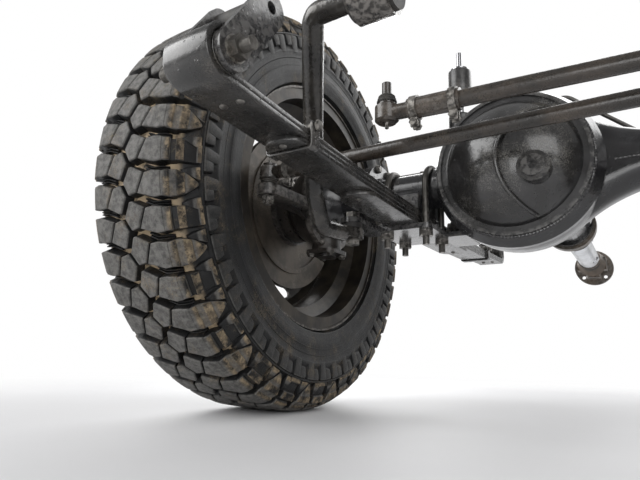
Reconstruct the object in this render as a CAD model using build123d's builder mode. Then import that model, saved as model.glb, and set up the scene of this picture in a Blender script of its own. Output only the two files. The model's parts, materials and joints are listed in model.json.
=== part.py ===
from build123d import *
from math import atan2, cos, pi, sin, sqrt, tan
import os

# Front axle of an off-road 4x4 with both wheels, leaf springs, steering and sway bar.
# Sizes are in millimetres. X runs to the vehicle's left, Y to its rear and Z up, and they are
# measured from the middle of the axle at the height of the wheels' axis, until the pieces are
# written out in their own frame at the right rear spring eye.

# Places across the axle
HALF_TRACK = 610.0
KINGPIN_INSET = 100.0
KINGPIN_X = HALF_TRACK - KINGPIN_INSET
SPRING_INSET = 168.0
SPRING_X = KINGPIN_X - SPRING_INSET
DIFF_INSET = 166.0
DIFF_X = DIFF_INSET - SPRING_X

# Axle housing
TUBE_R = 30.0
BANJO_R = 112.0
BANJO_HALF_DEPTH = 44.0
BANJO_BACK_R = 98.0
BANJO_BACK_BULGE = 6.0
BANJO_LIP = 2.0
BANJO_LIP_WIDTH = 10.0
BANJO_LIP_STEP = 5.0
BANJO_ROOT_HALF_DEPTH = 32.0
BANJO_ROOT_HALF_HEIGHT = 32.0
BANJO_EDGE_R = 28.0
BANJO_SHORT_REACH = 125.0
BANJO_SHORT_BLEND_R = 24.0
BANJO_LONG_REACH = 242.0
BANJO_LONG_BLEND_R = 200.0
COVER_SEAT_R = 105.0
COVER_SEAT_Y = -62.0
BALL_R = 62.0
BALL_NECK_R = 38.0
BALL_NECK_LENGTH = 34.0
BALL_FLANGE_R = 56.0
BALL_FLANGE_THICKNESS = 14.0

# Domed cover with its filler plug
COVER_R = 90.0
COVER_RIM = 5.0
COVER_RIM_WIDTH = 12.0
COVER_BEAD = 3.0
COVER_BEAD_WIDTH = 5.0
COVER_HEIGHT = 54.0
STEP_R = 79.0
STEP_DX = 71.0
STEP_Z = -12.0
STEP_DEPTH = 7.0
PLUG_DX = 36.0
PLUG_Z = -26.0
PLATEAU_R = 25.0
PLATEAU_FOOT_R = 16.0
PLATEAU_FOOT_Z = -68.0
PLUG_BOSS_R = 20.0
PLUG_BOSS_PROUD = 4.0
PLUG_BOSS_DEPTH = 20.0
PLUG_R = 14.0
PLUG_HEIGHT = 4.0
PLUG_SOCKET = 10.0
PLUG_SOCKET_DEPTH = 3.0

# Differential carrier and pinion
CARRIER_FLANGE_R = 97.0
CARRIER_FLANGE = 11.0
CARRIER_BODY_R = 78.0
CARRIER_BODY_END_R = 54.0
CARRIER_BODY_LENGTH = 46.0
CARRIER_EDGE_R = 8.0
CARRIER_RIB_COUNT = 8
CARRIER_RIB = 7.0
PINION_DX = 40.0
PINION_X = DIFF_X + PINION_DX
PINION_Z = -38.0
PINION_NOSE_R = 33.0
PINION_NOSE_ROOT_R = 44.0
PINION_NOSE_END_Y = 170.0
PINION_SEAL_R = 38.0
PINION_SEAL_WIDTH = 12.0
PINION_SHAFT_R = 15.0
PINION_SHAFT_DEPTH = 40.0
RUNNING_GAP = 0.06

# Propshaft, from the pinion's flange to the flange on the gearbox's side
PINION_GAP = 2.0
SHAFT_FLANGE_R = 42.0
SHAFT_FLANGE = 9.0
SHAFT_BOLT_CIRCLE_R = 33.0
SHAFT_BOLT_COUNT = 4
SHAFT_BOLT_R = 4.2
YOKE_REACH = 36.0
YOKE_HALF_WIDTH = 30.0
YOKE_EAR = 11.0
YOKE_EAR_WIDTH = 30.0
YOKE_WEB = 10.0
YOKE_NECK = 14.0
CROSS_R = 9.0
CUP_R = 12.0
CUP_INSET = 1.0
SHAFT_TUBE_R = 21.0
SHAFT_TUBE_WALL = 2.5
SHAFT_TUBE_LENGTH = 250.0
SLIP_R = 17.0
SLIP_LENGTH = 56.0
SLIP_COLLAR_R = 21.0
SLIP_COLLAR = 14.0

# Leaf springs: concentric arcs stacked under the tube
LEAF = 6.0
LEAF_COUNT = 4
LEAF_WIDTH = 52.0
PAD_HEIGHT = 12.0
PAD_LENGTH = 104.0
PAD_SADDLE = 12.0
EYE_Y = 477.0
EYE_R = 13.0
CAMBER = 14.0
WRAP_GAP = 1.0
THIRD_LEAF_HALF = 375.0
FOURTH_LEAF_HALF = 215.0
BUSH_BORE_R = 6.0
BUSH_PROUD = 1.5
CLIP_Y = 345.0
CLIP_LENGTH = 24.0
CLIP = 4.0
CLIP_ABOVE = 9.0
CLIP_GAP = 1.0

# Spring clamps
UBOLT_R = 5.0
UBOLT_GAP = 0.5
UBOLT_LEAF_GAP = 1.0
PLATE = 8.0
PLATE_WIDTH = 92.0
PLATE_LENGTH = 112.0
PLATE_CORNER_R = 10.0
PLATE_HOLE_R = 5.5
UBOLT_TAIL = 22.0
NUT_R = 9.5
NUT = 9.0

# Shackles at the front eyes
SHACKLE_TOP_Y = -432.0
SHACKLE_TOP_Z = 54.0
SHACKLE_PLATE = 6.0
SHACKLE_END_R = 19.0
SHACKLE_HOLE_R = 6.2
SHACKLE_BOLT_R = 6.0
SHACKLE_BUSH_R = 13.0
SHACKLE_BOLT_TAIL = 20.0
SHACKLE_BOLT_GAP = 0.05

# Sway bar: half of its centre line is given, and the other half mirrors it
SWAY_R = 12.0
SWAY_BEND_R = 18.0
SWAY_ROUTE = (
    # x from the spring's middle, y, z
    (-40.0, -372.0, 82.0),
    (-7.0, -320.0, 40.0),
    (56.0, -215.0, -50.0),
    (62.0, -184.0, -92.0),
    (54.0, -138.0, -91.0),
)
SWAY_EYE_DX = 50.0
SWAY_EYE_X = SPRING_X + SWAY_EYE_DX
SWAY_EYE_Y = -118.0
SWAY_EYE_Z = -89.0
SWAY_EYE = 14.4
SWAY_CLAMP_DX = -110.0
SWAY_CLAMP_X = SPRING_X + SWAY_CLAMP_DX
SWAY_CLAMP_WIDTH = 46.0
SWAY_BUSH_R = 24.0
SWAY_BUSH_PROUD = 4.0
SWAY_CLAMP = 4.0
SWAY_FOOT_LENGTH = 98.0
SWAY_FOOT_HOLE_SPACING = 74.0
SWAY_FOOT_HOLE_R = 5.5
SWAY_EYE_R = 17.0
SWAY_EYE_INSET = 1.0
SWAY_END_BUSH_INSET = 3.0
SWAY_TAB_ROOT = 30.0
SWAY_BOLT_R = 5.0

# Dampers behind the axle
DAMPER_DX = -56.0
DAMPER_X = SPRING_X + DAMPER_DX
DAMPER_Y = 86.0
DAMPER_Z = -44.0
DAMPER_EYE_R = 17.0
DAMPER_EYE_LENGTH = 30.0
DAMPER_PIN_R = 7.0
DAMPER_TAB = 6.0
DAMPER_TAB_R = 14.0
DAMPER_TAB_SINK = 1.0
DAMPER_TAB_ROOT = 20.0
DAMPER_WASHER_R = 16.0
DAMPER_WASHER = 3.0
DAMPER_EYE_SINK = 3.0
DAMPER_BODY_R = 22.0
DAMPER_BODY_EDGE_R = 4.0
DAMPER_BODY_LENGTH = 190.0
DAMPER_ROD_SUNK = 60.0
DAMPER_ROD_R = 6.5
DAMPER_ROD_LENGTH = 92.0
DAMPER_STEM_R = 5.0
DAMPER_STEM_LENGTH = 34.0

# Steering knuckles; s is the distance outboard of the kingpin
KNUCKLE_R = 74.0
BALL_GAP = 0.5
KNUCKLE_OPEN_S = -8.0
SEAL_R = 82.0
SEAL_WIDTH = 9.0
TRUNNION_R = 26.0
TRUNNION_TOP = 90.0
CAP_SIZE = 58.0
CAP = 7.0
CAP_CORNER_R = 12.0
CAP_DOME_R = 17.0
CAP_DOME = 5.0
ARM_LENGTH = 172.0
ARM_Z = -20.0
ARM = 16.0
ARM_ROOT_HALF = 13.0
ARM_ROOT_R = 9.0
ARM_ROOT_INSET = 15.0
ARM_EYE_R = 17.0
ARM_RIB = 8.0
ARM_RIB_DEPTH = 24.0
ARM_RIB_END = 24.0
LINK_SPACING = 46.0
DRAG_INBOARD = 20.0
SPINDLE_FLANGE_R = 64.0
SPINDLE_FLANGE_S = 80.0
SPINDLE_FLANGE = 10.0
SPINDLE_BODY_R = 60.0
SPINDLE_BODY_S = 50.0
SPINDLE_R = 25.0
SPINDLE_NOSE = 32.0
CALIPER_LUG_R = 12.0
CALIPER_LUG_Y = 92.0
CALIPER_LUG_Z = 38.0
CALIPER_LUG_ROOT_R = 16.0
CALIPER_LUG_ROOT_Y = 50.0
CALIPER_LUG_ROOT_Z = 20.0

# Steering bars
ROD_R = 10.0
ROD_Z = 8.0
BALL_HOUSING_R = 15.0
BALL_HOUSING_HEIGHT = 24.0
BALL_HOUSING_EDGE = 3.0
BALL_CAP_R = 11.0
BALL_CAP = 2.5
ROD_SLEEVE_R = 13.0
ROD_SLEEVE_LENGTH = 64.0
ROD_SLEEVE_START = 30.0
STUD_R = 6.0
STUD_GAP = 0.06
OPEN_STUD_GAP = 0.3
STUD_TAIL = 14.0
DRAG_END_X = -290.0
DRAG_END_Z = 34.0
DRAG_STUD = 30.0

# Brakes
CALIPER_RIM_GAP = 24.0
CALIPER_WALL = 18.0
SHIELD_OVERLAP = 7.0
SHIELD_BORE_GAP = 6.0
SHIELD = 2.0
SHIELD_LIP = 10.0
SHIELD_BEAD_INSET = 28.0
SHIELD_BEAD_WIDTH = 9.0
SHIELD_BEAD = 3.0
DISC = 10.0
DISC_GAP = 9.0
DISC_HAT_R = 74.0
DISC_BORE_GAP = 12.0
CALIPER_ARC = 46.0
CALIPER_ARC_GAP = 10.0
SHIELD_CUT = 76.0
CALIPER_GAP = 2.0
CALIPER_WIDTH = 33.0
CALIPER_INNER_DEPTH = 48.0
PISTON_R = 24.0
PISTON_INSET = 40.0
PISTON_LENGTH = 20.0

# Hub
HUB_BODY_R = 46.0
HUB_START_GAP = 3.0
HUB_FLANGE_MARGIN = 13.0
HUB_FLANGE = 8.0
HUB_NOSE_R = 42.0
HUB_NOSE = 56.0
LOCK_R = 41.0
LOCK_FLANGE = 6.0
LOCK_BODY_R = 35.0
LOCK_FACE_R = 31.0
LOCK_LENGTH = 24.0
DIAL_R = 24.0
DIAL_DEPTH = 5.0
DIAL_GRIP = 9.0
DIAL_GRIP_LENGTH = 42.0
STUD_CIRCLE_R = 69.85
STUD_COUNT = 5
WHEEL_STUD_R = 6.0
WHEEL_STUD_LENGTH = 26.0
WHEEL_HOLE_GAP = 1.0

# Rim, with u outboard of the face that sits on the hub
RIM = 4.0
SEAT_R = 203.5
RIM_FLANGE = 18.5
RIM_LIP = 6.0
RIM_HALF = 78.0
WELL_DEPTH = 19.5
INNER_SEAT = 32.0
INNER_SLOPE = 14.0
OUTER_SEAT = 26.0
OUTER_SLOPE = 10.0
WHEEL_OFFSET = 20.0
NAVE_BORE_R = 54.0
NAVE = (
    # u, depth inside the well
    (0.0, 94.0),
    (19.0, 72.0),
    (22.0, 42.0),
    (6.0, 14.0),
    (-8.0, 2.0),
)
VENT_COUNT = 10
VENT_DEPTH = 29.0
VENT_R = 10.0
VENT_SPREAD = 15.0
VENT_BOTTOM_R = 5.0
VENT_FALL = 18.0

# Brake pipe along the top of the housing
PIPE_R = 3.0
PIPE_GAP = 0.2
PIPE_BEND_R = 20.0
PIPE_Y = 25.0
PIPE_OVER_TUBE = 11.0
PIPE_TOP_Y = 8.0
PIPE_RISE = 124.0
PIPE_TOP_START = 90.0
PIPE_TOP_END = 70.0
PIPE_FALL = 150.0
PIPE_FALL_OVER_TUBE = 20.0
PIPE_END_Y = 22.0
PIPE_END_OVER_TUBE = 1.0

# Tyre: flat facets round it, one for each lug
BEAD_GAP = 0.6
BEAD_HALF = 77.5
SIDEWALL_HALF = 97.0
SIDEWALL_R = 282.0
CROWN_R = 341.0
CASING_EDGE_R = 308.0
TYRE_R = 358.0
TREAD_HALF = 68.0
LUG_EDGE_R = 313.0
LUG_COUNT = 46
LUG_WIDTH = 30.0
LUG_ROOT_R = 300.0
CENTRE_GROOVE = 3.0

# Sizes that follow from the others
SPRING_TOP_Z = -(TUBE_R + PAD_HEIGHT)
ARC_R = EYE_Y**2 / (2 * CAMBER)
PACK_BOTTOM_Z = SPRING_TOP_Z - LEAF_COUNT * LEAF
WHEEL_SEAT_S = KINGPIN_INSET + WHEEL_OFFSET
SPINDLE_END_S = WHEEL_SEAT_S + SPINDLE_NOSE
HUB_NOSE_END_S = WHEEL_SEAT_S + HUB_NOSE
HUB_FLANGE_R = STUD_CIRCLE_R + HUB_FLANGE_MARGIN
RIM_FLANGE_R = SEAT_R + RIM_FLANGE
WELL_R = SEAT_R - WELL_DEPTH
CALIPER_R = WELL_R - RIM - CALIPER_RIM_GAP
DISC_R = CALIPER_R - CALIPER_WALL
DISC_S = SPINDLE_FLANGE_S + DISC_GAP
SHIELD_R = DISC_R + SHIELD_OVERLAP
BALL_FLANGE_X = KINGPIN_X - BALL_R - BALL_NECK_LENGTH


def leaf_z(y, depth):
    """Height of a leaf's arc at y, depth below the top of the main leaf."""
    radius = ARC_R + depth
    return SPRING_TOP_Z + ARC_R - sqrt(radius**2 - y**2)


EYE_Z = leaf_z(EYE_Y, 0) + EYE_R
PAD_BOTTOM_Z = leaf_z(0.5 * PAD_LENGTH, 0)
ORIGIN = Vector(-SPRING_X, EYE_Y, EYE_Z)


def outline(plane, *points):
    """Closed outline of straight lines on a plane."""
    with BuildSketch(plane) as drawn:
        with BuildLine():
            Polyline(*points, close=True)
        make_face()
    return drawn.sketch


def ring(plane, outer, inner=0.0):
    """Disc or ring on a plane."""
    with BuildSketch(plane) as drawn:
        Circle(outer)
        if inner > 0:
            Circle(inner, mode=Mode.SUBTRACT)
    return drawn.sketch


def across(x, y=0.0, z=0.0):
    """Plane whose normal runs to the vehicle's left through a point."""
    return Plane(origin=(x, y, z), x_dir=(0, 1, 0), z_dir=(1, 0, 0))


def along(x, y, z):
    """Plane whose normal runs to the rear through a point."""
    return Plane(origin=(x, y, z), x_dir=(-1, 0, 0), z_dir=(0, 1, 0))


def level(x, y, z):
    """Plane whose normal points up through a point."""
    return Plane(origin=(x, y, z), x_dir=(1, 0, 0), z_dir=(0, 0, 1))


def leaf_strip(x, half_length, index):
    """Section of one leaf, number index from the top, on the plane of its inner side."""
    top, bottom = index * LEAF, (index + 1) * LEAF
    with BuildSketch(across(x - 0.5 * LEAF_WIDTH)) as drawn:
        with BuildLine():
            ThreePointArc(
                (-half_length, leaf_z(half_length, top)),
                (0, leaf_z(0, top)),
                (half_length, leaf_z(half_length, top)),
            )
            Line((half_length, leaf_z(half_length, top)), (half_length, leaf_z(half_length, bottom)))
            ThreePointArc(
                (half_length, leaf_z(half_length, bottom)),
                (0, leaf_z(0, bottom)),
                (-half_length, leaf_z(half_length, bottom)),
            )
            Line((-half_length, leaf_z(half_length, bottom)), (-half_length, leaf_z(half_length, top)))
        make_face()
    return drawn.sketch


def hexagon(plane, across_flats):
    """Hexagon on a plane."""
    with BuildSketch(plane) as drawn:
        RegularPolygon(0.5 * across_flats, 6, major_radius=False)
    return drawn.sketch


# Axle housing: banjo, tubes, ball ends and spring pads
with BuildPart() as axle_housing:
    with BuildSketch(Plane.XZ) as banjo:
        with Locations((DIFF_X, 0)):
            Circle(BANJO_R)
        with Locations((DIFF_X + 0.5 * (BANJO_LONG_REACH - BANJO_SHORT_REACH), 0)):
            Rectangle(BANJO_LONG_REACH + BANJO_SHORT_REACH, 2 * BANJO_ROOT_HALF_HEIGHT)
        roots = banjo.vertices().filter_by(lambda v: abs(v.X - DIFF_X) < BANJO_R)
        fillet(roots.filter_by(lambda v: v.X < DIFF_X), BANJO_SHORT_BLEND_R)
        roots = banjo.vertices().filter_by(lambda v: DIFF_X < v.X < DIFF_X + BANJO_R)
        fillet(roots.filter_by(lambda v: abs(v.Y) < BANJO_ROOT_HALF_HEIGHT + 1), BANJO_LONG_BLEND_R)
    extrude(amount=BANJO_ROOT_HALF_DEPTH, both=True)
    banjo_edges = axle_housing.faces().filter_by(Axis.Y).edges()
    fillet(banjo_edges.filter_by(Axis.Z, reverse=True), BANJO_EDGE_R)
    lip_back_y = BANJO_LIP_WIDTH - BANJO_HALF_DEPTH
    shoulder_y = lip_back_y + BANJO_LIP_STEP
    bulge_r = 0.5 * (BANJO_R + BANJO_BACK_R) + BANJO_BACK_BULGE
    with BuildSketch(Plane.XY) as bowl:
        with BuildLine():
            front_line = Polyline(
                (DIFF_X + BANJO_BACK_R, BANJO_HALF_DEPTH),
                (DIFF_X, BANJO_HALF_DEPTH),
                (DIFF_X, COVER_SEAT_Y),
                (DIFF_X + COVER_SEAT_R, COVER_SEAT_Y),
                (DIFF_X + BANJO_R + BANJO_LIP, -BANJO_HALF_DEPTH),
                (DIFF_X + BANJO_R + BANJO_LIP, lip_back_y),
                (DIFF_X + BANJO_R, shoulder_y),
            )
            bulge = (DIFF_X + bulge_r, 0.5 * (shoulder_y + BANJO_HALF_DEPTH))
            ThreePointArc(front_line @ 1, bulge, front_line @ 0)
        make_face()
    revolve(axis=Axis((DIFF_X, 0, 0), (0, 1, 0)))
    for side in (-1, 1):
        neck_x = KINGPIN_X - sqrt(BALL_R**2 - BALL_NECK_R**2)
        with BuildSketch(Plane.XY) as arm:
            with BuildLine():
                Polyline(
                    (side * (KINGPIN_X + BALL_R), 0),
                    (DIFF_X, 0),
                    (DIFF_X, TUBE_R),
                    (side * (BALL_FLANGE_X - BALL_FLANGE_THICKNESS), TUBE_R),
                    (side * (BALL_FLANGE_X - BALL_FLANGE_THICKNESS), BALL_FLANGE_R),
                    (side * BALL_FLANGE_X, BALL_FLANGE_R),
                    (side * BALL_FLANGE_X, BALL_NECK_R),
                    (side * neck_x, BALL_NECK_R),
                )
                ThreePointArc(
                    (side * neck_x, BALL_NECK_R),
                    (side * KINGPIN_X, BALL_R),
                    (side * (KINGPIN_X + BALL_R), 0),
                )
            make_face()
        revolve(axis=Axis.X)
        with BuildSketch(level(side * SPRING_X, 0, PAD_BOTTOM_Z)):
            Rectangle(LEAF_WIDTH, PAD_LENGTH)
        extrude(amount=PAD_HEIGHT + PAD_SADDLE)

# Domed cover welded to the front of the banjo: the left of the dome stands higher, behind a curved step
COVER_AXIS = Axis((DIFF_X, 0, 0), (0, 1, 0))
COVER_TOP_Y = COVER_SEAT_Y - COVER_RIM - COVER_HEIGHT
COVER_EDGE_R = COVER_R + COVER_RIM_WIDTH


def dome_r(height):
    """Radius of the sphere of a dome of a height over the cover's rim."""
    return (COVER_R**2 + height**2) / (2 * height)


def dome_section(height):
    """Half section of a dome over the cover's seat."""
    with BuildSketch(Plane.XY) as half:
        with BuildLine():
            base_line = Polyline(
                (DIFF_X, COVER_SEAT_Y - COVER_RIM - height),
                (DIFF_X, COVER_SEAT_Y),
                (DIFF_X + COVER_R, COVER_SEAT_Y),
                (DIFF_X + COVER_R, COVER_SEAT_Y - COVER_RIM),
            )
            RadiusArc(base_line @ 1, base_line @ 0, dome_r(height))
        make_face()
    return half.sketch


with BuildPart() as cover_step:
    with BuildSketch(along(DIFF_X, COVER_TOP_Y, 0)) as plateau:
        with Locations((-PLUG_DX, PLUG_Z)):
            Circle(PLATEAU_R)
        with Locations((-PLUG_DX, PLATEAU_FOOT_Z)):
            Circle(PLATEAU_FOOT_R)
        make_hull()
    with BuildSketch(along(DIFF_X, COVER_TOP_Y, 0)) as pocket:
        with Locations((-STEP_DX, STEP_Z)):
            Circle(STEP_R)
        add(plateau.sketch, mode=Mode.SUBTRACT)
    extrude(pocket.sketch, amount=COVER_HEIGHT)
    revolve(dome_section(COVER_HEIGHT - STEP_DEPTH), axis=COVER_AXIS, mode=Mode.SUBTRACT)

PLUG_OFF = sqrt(PLUG_DX**2 + PLUG_Z**2)
DOME_R = dome_r(COVER_HEIGHT)
PLUG_SEAT_Y = COVER_TOP_Y + DOME_R - sqrt(DOME_R**2 - PLUG_OFF**2) - PLUG_BOSS_PROUD
with BuildPart() as axle_cover:
    revolve(dome_section(COVER_HEIGHT), axis=COVER_AXIS)
    add(cover_step.part, mode=Mode.SUBTRACT)
    extrude(ring(along(DIFF_X, COVER_SEAT_Y, 0), COVER_EDGE_R), amount=-COVER_RIM)
    bead = ring(along(DIFF_X, COVER_SEAT_Y, 0), COVER_EDGE_R, COVER_EDGE_R - COVER_BEAD_WIDTH)
    extrude(bead, amount=-COVER_RIM - COVER_BEAD)
    extrude(ring(along(DIFF_X + PLUG_DX, PLUG_SEAT_Y, PLUG_Z), PLUG_BOSS_R), amount=PLUG_BOSS_DEPTH)

with BuildPart() as filler_plug:
    extrude(ring(along(DIFF_X + PLUG_DX, PLUG_SEAT_Y, PLUG_Z), PLUG_R), amount=-PLUG_HEIGHT)
    socket = hexagon(along(DIFF_X + PLUG_DX, PLUG_SEAT_Y - PLUG_HEIGHT, PLUG_Z), PLUG_SOCKET)
    extrude(socket, amount=PLUG_SOCKET_DEPTH, mode=Mode.SUBTRACT)

# Differential carrier bolted to the back of the banjo, ribbed, with the pinion's nose
CARRIER_Y = BANJO_HALF_DEPTH
NOSE_Y = CARRIER_Y + CARRIER_FLANGE
CARRIER_END_Y = NOSE_Y + CARRIER_BODY_LENGTH
SEAL_Y = PINION_NOSE_END_Y - PINION_SEAL_WIDTH


def ribs(x, z, profile):
    """Ribs round an axis that runs to the rear, from their outline as (radius, y)."""
    for index in range(CARRIER_RIB_COUNT):
        turn = (index + 0.5) * 2 * pi / CARRIER_RIB_COUNT
        plane = Plane(origin=(x, 0, z), x_dir=(cos(turn), 0, sin(turn)), z_dir=(-sin(turn), 0, cos(turn)))
        extrude(outline(plane, *profile), amount=0.5 * CARRIER_RIB, both=True)


with BuildPart() as diff_carrier:
    with BuildSketch(Plane.XY):
        with BuildLine():
            Polyline(
                (DIFF_X, NOSE_Y),
                (DIFF_X + CARRIER_BODY_R, NOSE_Y),
                (DIFF_X + CARRIER_BODY_END_R, CARRIER_END_Y),
                (DIFF_X, CARRIER_END_Y),
                close=True,
            )
        make_face()
    revolve(axis=COVER_AXIS)
    fillet(diff_carrier.faces().sort_by(Axis.Y)[-1].edges(), CARRIER_EDGE_R)
    extrude(ring(along(DIFF_X, CARRIER_Y, 0), CARRIER_FLANGE_R), amount=CARRIER_FLANGE)
    ribs(
        DIFF_X,
        0,
        (
            (0, NOSE_Y),
            (CARRIER_FLANGE_R - CARRIER_RIB, NOSE_Y),
            (CARRIER_BODY_END_R, CARRIER_END_Y - CARRIER_RIB),
            (0, CARRIER_END_Y - CARRIER_RIB),
        ),
    )
    with BuildSketch(Plane.XY.offset(PINION_Z)) as nose:
        with BuildLine():
            Polyline(
                (PINION_X, NOSE_Y),
                (PINION_X + PINION_NOSE_ROOT_R, NOSE_Y),
                (PINION_X + PINION_NOSE_R, CARRIER_END_Y),
                (PINION_X + PINION_NOSE_R, SEAL_Y),
                (PINION_X + PINION_SEAL_R, SEAL_Y),
                (PINION_X + PINION_SEAL_R, PINION_NOSE_END_Y),
                (PINION_X, PINION_NOSE_END_Y),
                close=True,
            )
        make_face()
    revolve(axis=Axis((PINION_X, 0, PINION_Z), (0, 1, 0)))
    ribs(
        PINION_X,
        PINION_Z,
        (
            (PINION_SHAFT_R + CARRIER_RIB, NOSE_Y),
            (PINION_NOSE_ROOT_R, NOSE_Y),
            (PINION_NOSE_ROOT_R, CARRIER_END_Y - CARRIER_RIB),
            (PINION_NOSE_R, SEAL_Y),
            (PINION_SHAFT_R + CARRIER_RIB, SEAL_Y),
        ),
    )
    extrude(
        ring(along(PINION_X, PINION_NOSE_END_Y - PINION_SHAFT_DEPTH, PINION_Z), PINION_SHAFT_R + RUNNING_GAP),
        amount=PINION_SHAFT_DEPTH,
        mode=Mode.SUBTRACT,
    )

# Propshaft: each flange carries a yoke, and the two crosses stand a quarter turn apart
SHAFT_START_Y = PINION_NOSE_END_Y + PINION_GAP
FRONT_CROSS_Y = SHAFT_START_Y + 2 * SHAFT_FLANGE + YOKE_REACH
TUBE_START_Y = FRONT_CROSS_Y + YOKE_REACH
TUBE_END_Y = TUBE_START_Y + SHAFT_TUBE_LENGTH
SLIP_END_Y = TUBE_END_Y + SLIP_LENGTH
REAR_CROSS_Y = SLIP_END_Y + YOKE_REACH
SHAFT_END_Y = REAR_CROSS_Y + YOKE_REACH + SHAFT_FLANGE


def yoke(y, cross_y, turned):
    """Two ears from a flange or tube end at y round the cross at cross_y."""
    for side in (-1, 1):
        middle = side * (YOKE_HALF_WIDTH - 0.5 * YOKE_EAR)
        plane = Plane(origin=(PINION_X, y, PINION_Z), x_dir=(1, 0, 0), z_dir=(0, 0, 1))
        plane = plane.rotated((0, 90, 0)) if turned else plane
        with BuildSketch(plane.offset(middle - 0.5 * YOKE_EAR)) as ear:
            with Locations((0, 0.5 * (cross_y - y))):
                Rectangle(YOKE_EAR_WIDTH, abs(cross_y - y))
            with Locations((0, cross_y - y)):
                Circle(0.5 * YOKE_EAR_WIDTH)
                Circle(CUP_R, mode=Mode.SUBTRACT)
        extrude(ear.sketch, amount=YOKE_EAR)


def flange_disc(y, thickness):
    """Flange of the propshaft with its bolt holes, from y to the rear."""
    plane = along(PINION_X, y, PINION_Z)
    extrude(ring(plane, SHAFT_FLANGE_R), amount=thickness)
    with BuildSketch(plane) as holes:
        with PolarLocations(SHAFT_BOLT_CIRCLE_R, SHAFT_BOLT_COUNT, start_angle=45):
            Circle(SHAFT_BOLT_R)
    extrude(holes.sketch, amount=thickness, mode=Mode.SUBTRACT)


def cross(y):
    """Joint cross with its four bearing cups."""
    for turned in (False, True):
        plane = Plane(origin=(PINION_X, y, PINION_Z), x_dir=(1, 0, 0), z_dir=(0, 0, 1))
        plane = plane.rotated((0, 90, 0)) if turned else plane
        extrude(ring(plane, CROSS_R), amount=YOKE_HALF_WIDTH - YOKE_EAR, both=True)
        extrude(ring(plane.offset(YOKE_HALF_WIDTH - YOKE_EAR), CUP_R), amount=YOKE_EAR - CUP_INSET)
        extrude(ring(plane.offset(YOKE_EAR - YOKE_HALF_WIDTH), CUP_R), amount=CUP_INSET - YOKE_EAR)


def neck(wide_y, narrow_y, narrow_r):
    """Cone from a yoke's web down to a tube."""
    with BuildSketch(Plane.XY.offset(PINION_Z)) as half:
        with BuildLine():
            Polyline(
                (PINION_X, wide_y),
                (PINION_X + YOKE_HALF_WIDTH, wide_y),
                (PINION_X + narrow_r, narrow_y),
                (PINION_X, narrow_y),
                close=True,
            )
        make_face()
    revolve(half.sketch, axis=Axis((PINION_X, 0, PINION_Z), (0, 1, 0)))


with BuildPart() as pinion_flange:
    extrude(
        ring(along(PINION_X, SHAFT_START_Y - PINION_SHAFT_DEPTH, PINION_Z), PINION_SHAFT_R),
        amount=PINION_SHAFT_DEPTH,
    )
    flange_disc(SHAFT_START_Y, SHAFT_FLANGE)

with BuildPart() as propshaft_front_yoke:
    flange_disc(SHAFT_START_Y + SHAFT_FLANGE, SHAFT_FLANGE)
    yoke(SHAFT_START_Y + 2 * SHAFT_FLANGE, FRONT_CROSS_Y, False)

with BuildPart() as propshaft_crosses:
    cross(FRONT_CROSS_Y)
    cross(REAR_CROSS_Y)

with BuildPart() as propshaft_tube:
    extrude(
        ring(along(PINION_X, TUBE_START_Y, PINION_Z), SHAFT_TUBE_R, SHAFT_TUBE_R - SHAFT_TUBE_WALL),
        amount=SHAFT_TUBE_LENGTH,
    )
    neck(TUBE_START_Y - YOKE_WEB, TUBE_START_Y + YOKE_NECK, SHAFT_TUBE_R)
    yoke(TUBE_START_Y - YOKE_WEB, FRONT_CROSS_Y, True)

with BuildPart() as propshaft_slip_yoke:
    extrude(ring(along(PINION_X, TUBE_END_Y, PINION_Z), SLIP_R), amount=SLIP_LENGTH)
    extrude(ring(along(PINION_X, TUBE_END_Y, PINION_Z), SLIP_COLLAR_R), amount=SLIP_COLLAR)
    neck(SLIP_END_Y + YOKE_WEB, SLIP_END_Y - YOKE_NECK, SLIP_R)
    yoke(SLIP_END_Y + YOKE_WEB, REAR_CROSS_Y, True)

with BuildPart() as propshaft_rear_flange:
    flange_disc(SHAFT_END_Y - SHAFT_FLANGE, SHAFT_FLANGE)
    yoke(SHAFT_END_Y - SHAFT_FLANGE, REAR_CROSS_Y, False)


# Leaf springs, modelled on the left and mirrored to the right
def eye(x, y, radius):
    """Rolled eye of a leaf, round the eye's centre at y."""
    plane = across(x - 0.5 * LEAF_WIDTH, y, EYE_Z)
    extrude(ring(plane, radius + LEAF, radius), amount=LEAF_WIDTH)


with BuildPart() as main_leaf_left:
    extrude(leaf_strip(SPRING_X, EYE_Y, 0), amount=LEAF_WIDTH)
    for end in (-1, 1):
        eye(SPRING_X, end * EYE_Y, EYE_R)

with BuildPart() as wrapper_leaf_left:
    extrude(leaf_strip(SPRING_X, EYE_Y, 1), amount=LEAF_WIDTH)
    wrap_r = EYE_R + LEAF + WRAP_GAP
    for end in (-1, 1):
        with BuildSketch(across(SPRING_X - 0.5 * LEAF_WIDTH, end * EYE_Y, EYE_Z)) as wrap:
            Circle(wrap_r + LEAF)
            Circle(wrap_r, mode=Mode.SUBTRACT)
            with Locations((-end * wrap_r, 0)):
                Rectangle(2 * wrap_r, 4 * wrap_r, mode=Mode.SUBTRACT)
        extrude(wrap.sketch, amount=LEAF_WIDTH)


def short_leaf(side, half_length, index):
    """Leaf with rounded ends, lower in the pack."""
    with BuildPart() as strip:
        extrude(leaf_strip(side * SPRING_X, half_length + LEAF, index), amount=LEAF_WIDTH)
        with BuildSketch(level(side * SPRING_X, 0, PACK_BOTTOM_Z - LEAF)) as plan:
            SlotOverall(2 * half_length, LEAF_WIDTH, rotation=90)
        extrude(plan.sketch, amount=2 * LEAF_COUNT * LEAF, mode=Mode.INTERSECT)
    return strip.part


with BuildPart() as third_leaves:
    for side in (-1, 1):
        add(short_leaf(side, THIRD_LEAF_HALF, 2))

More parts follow.
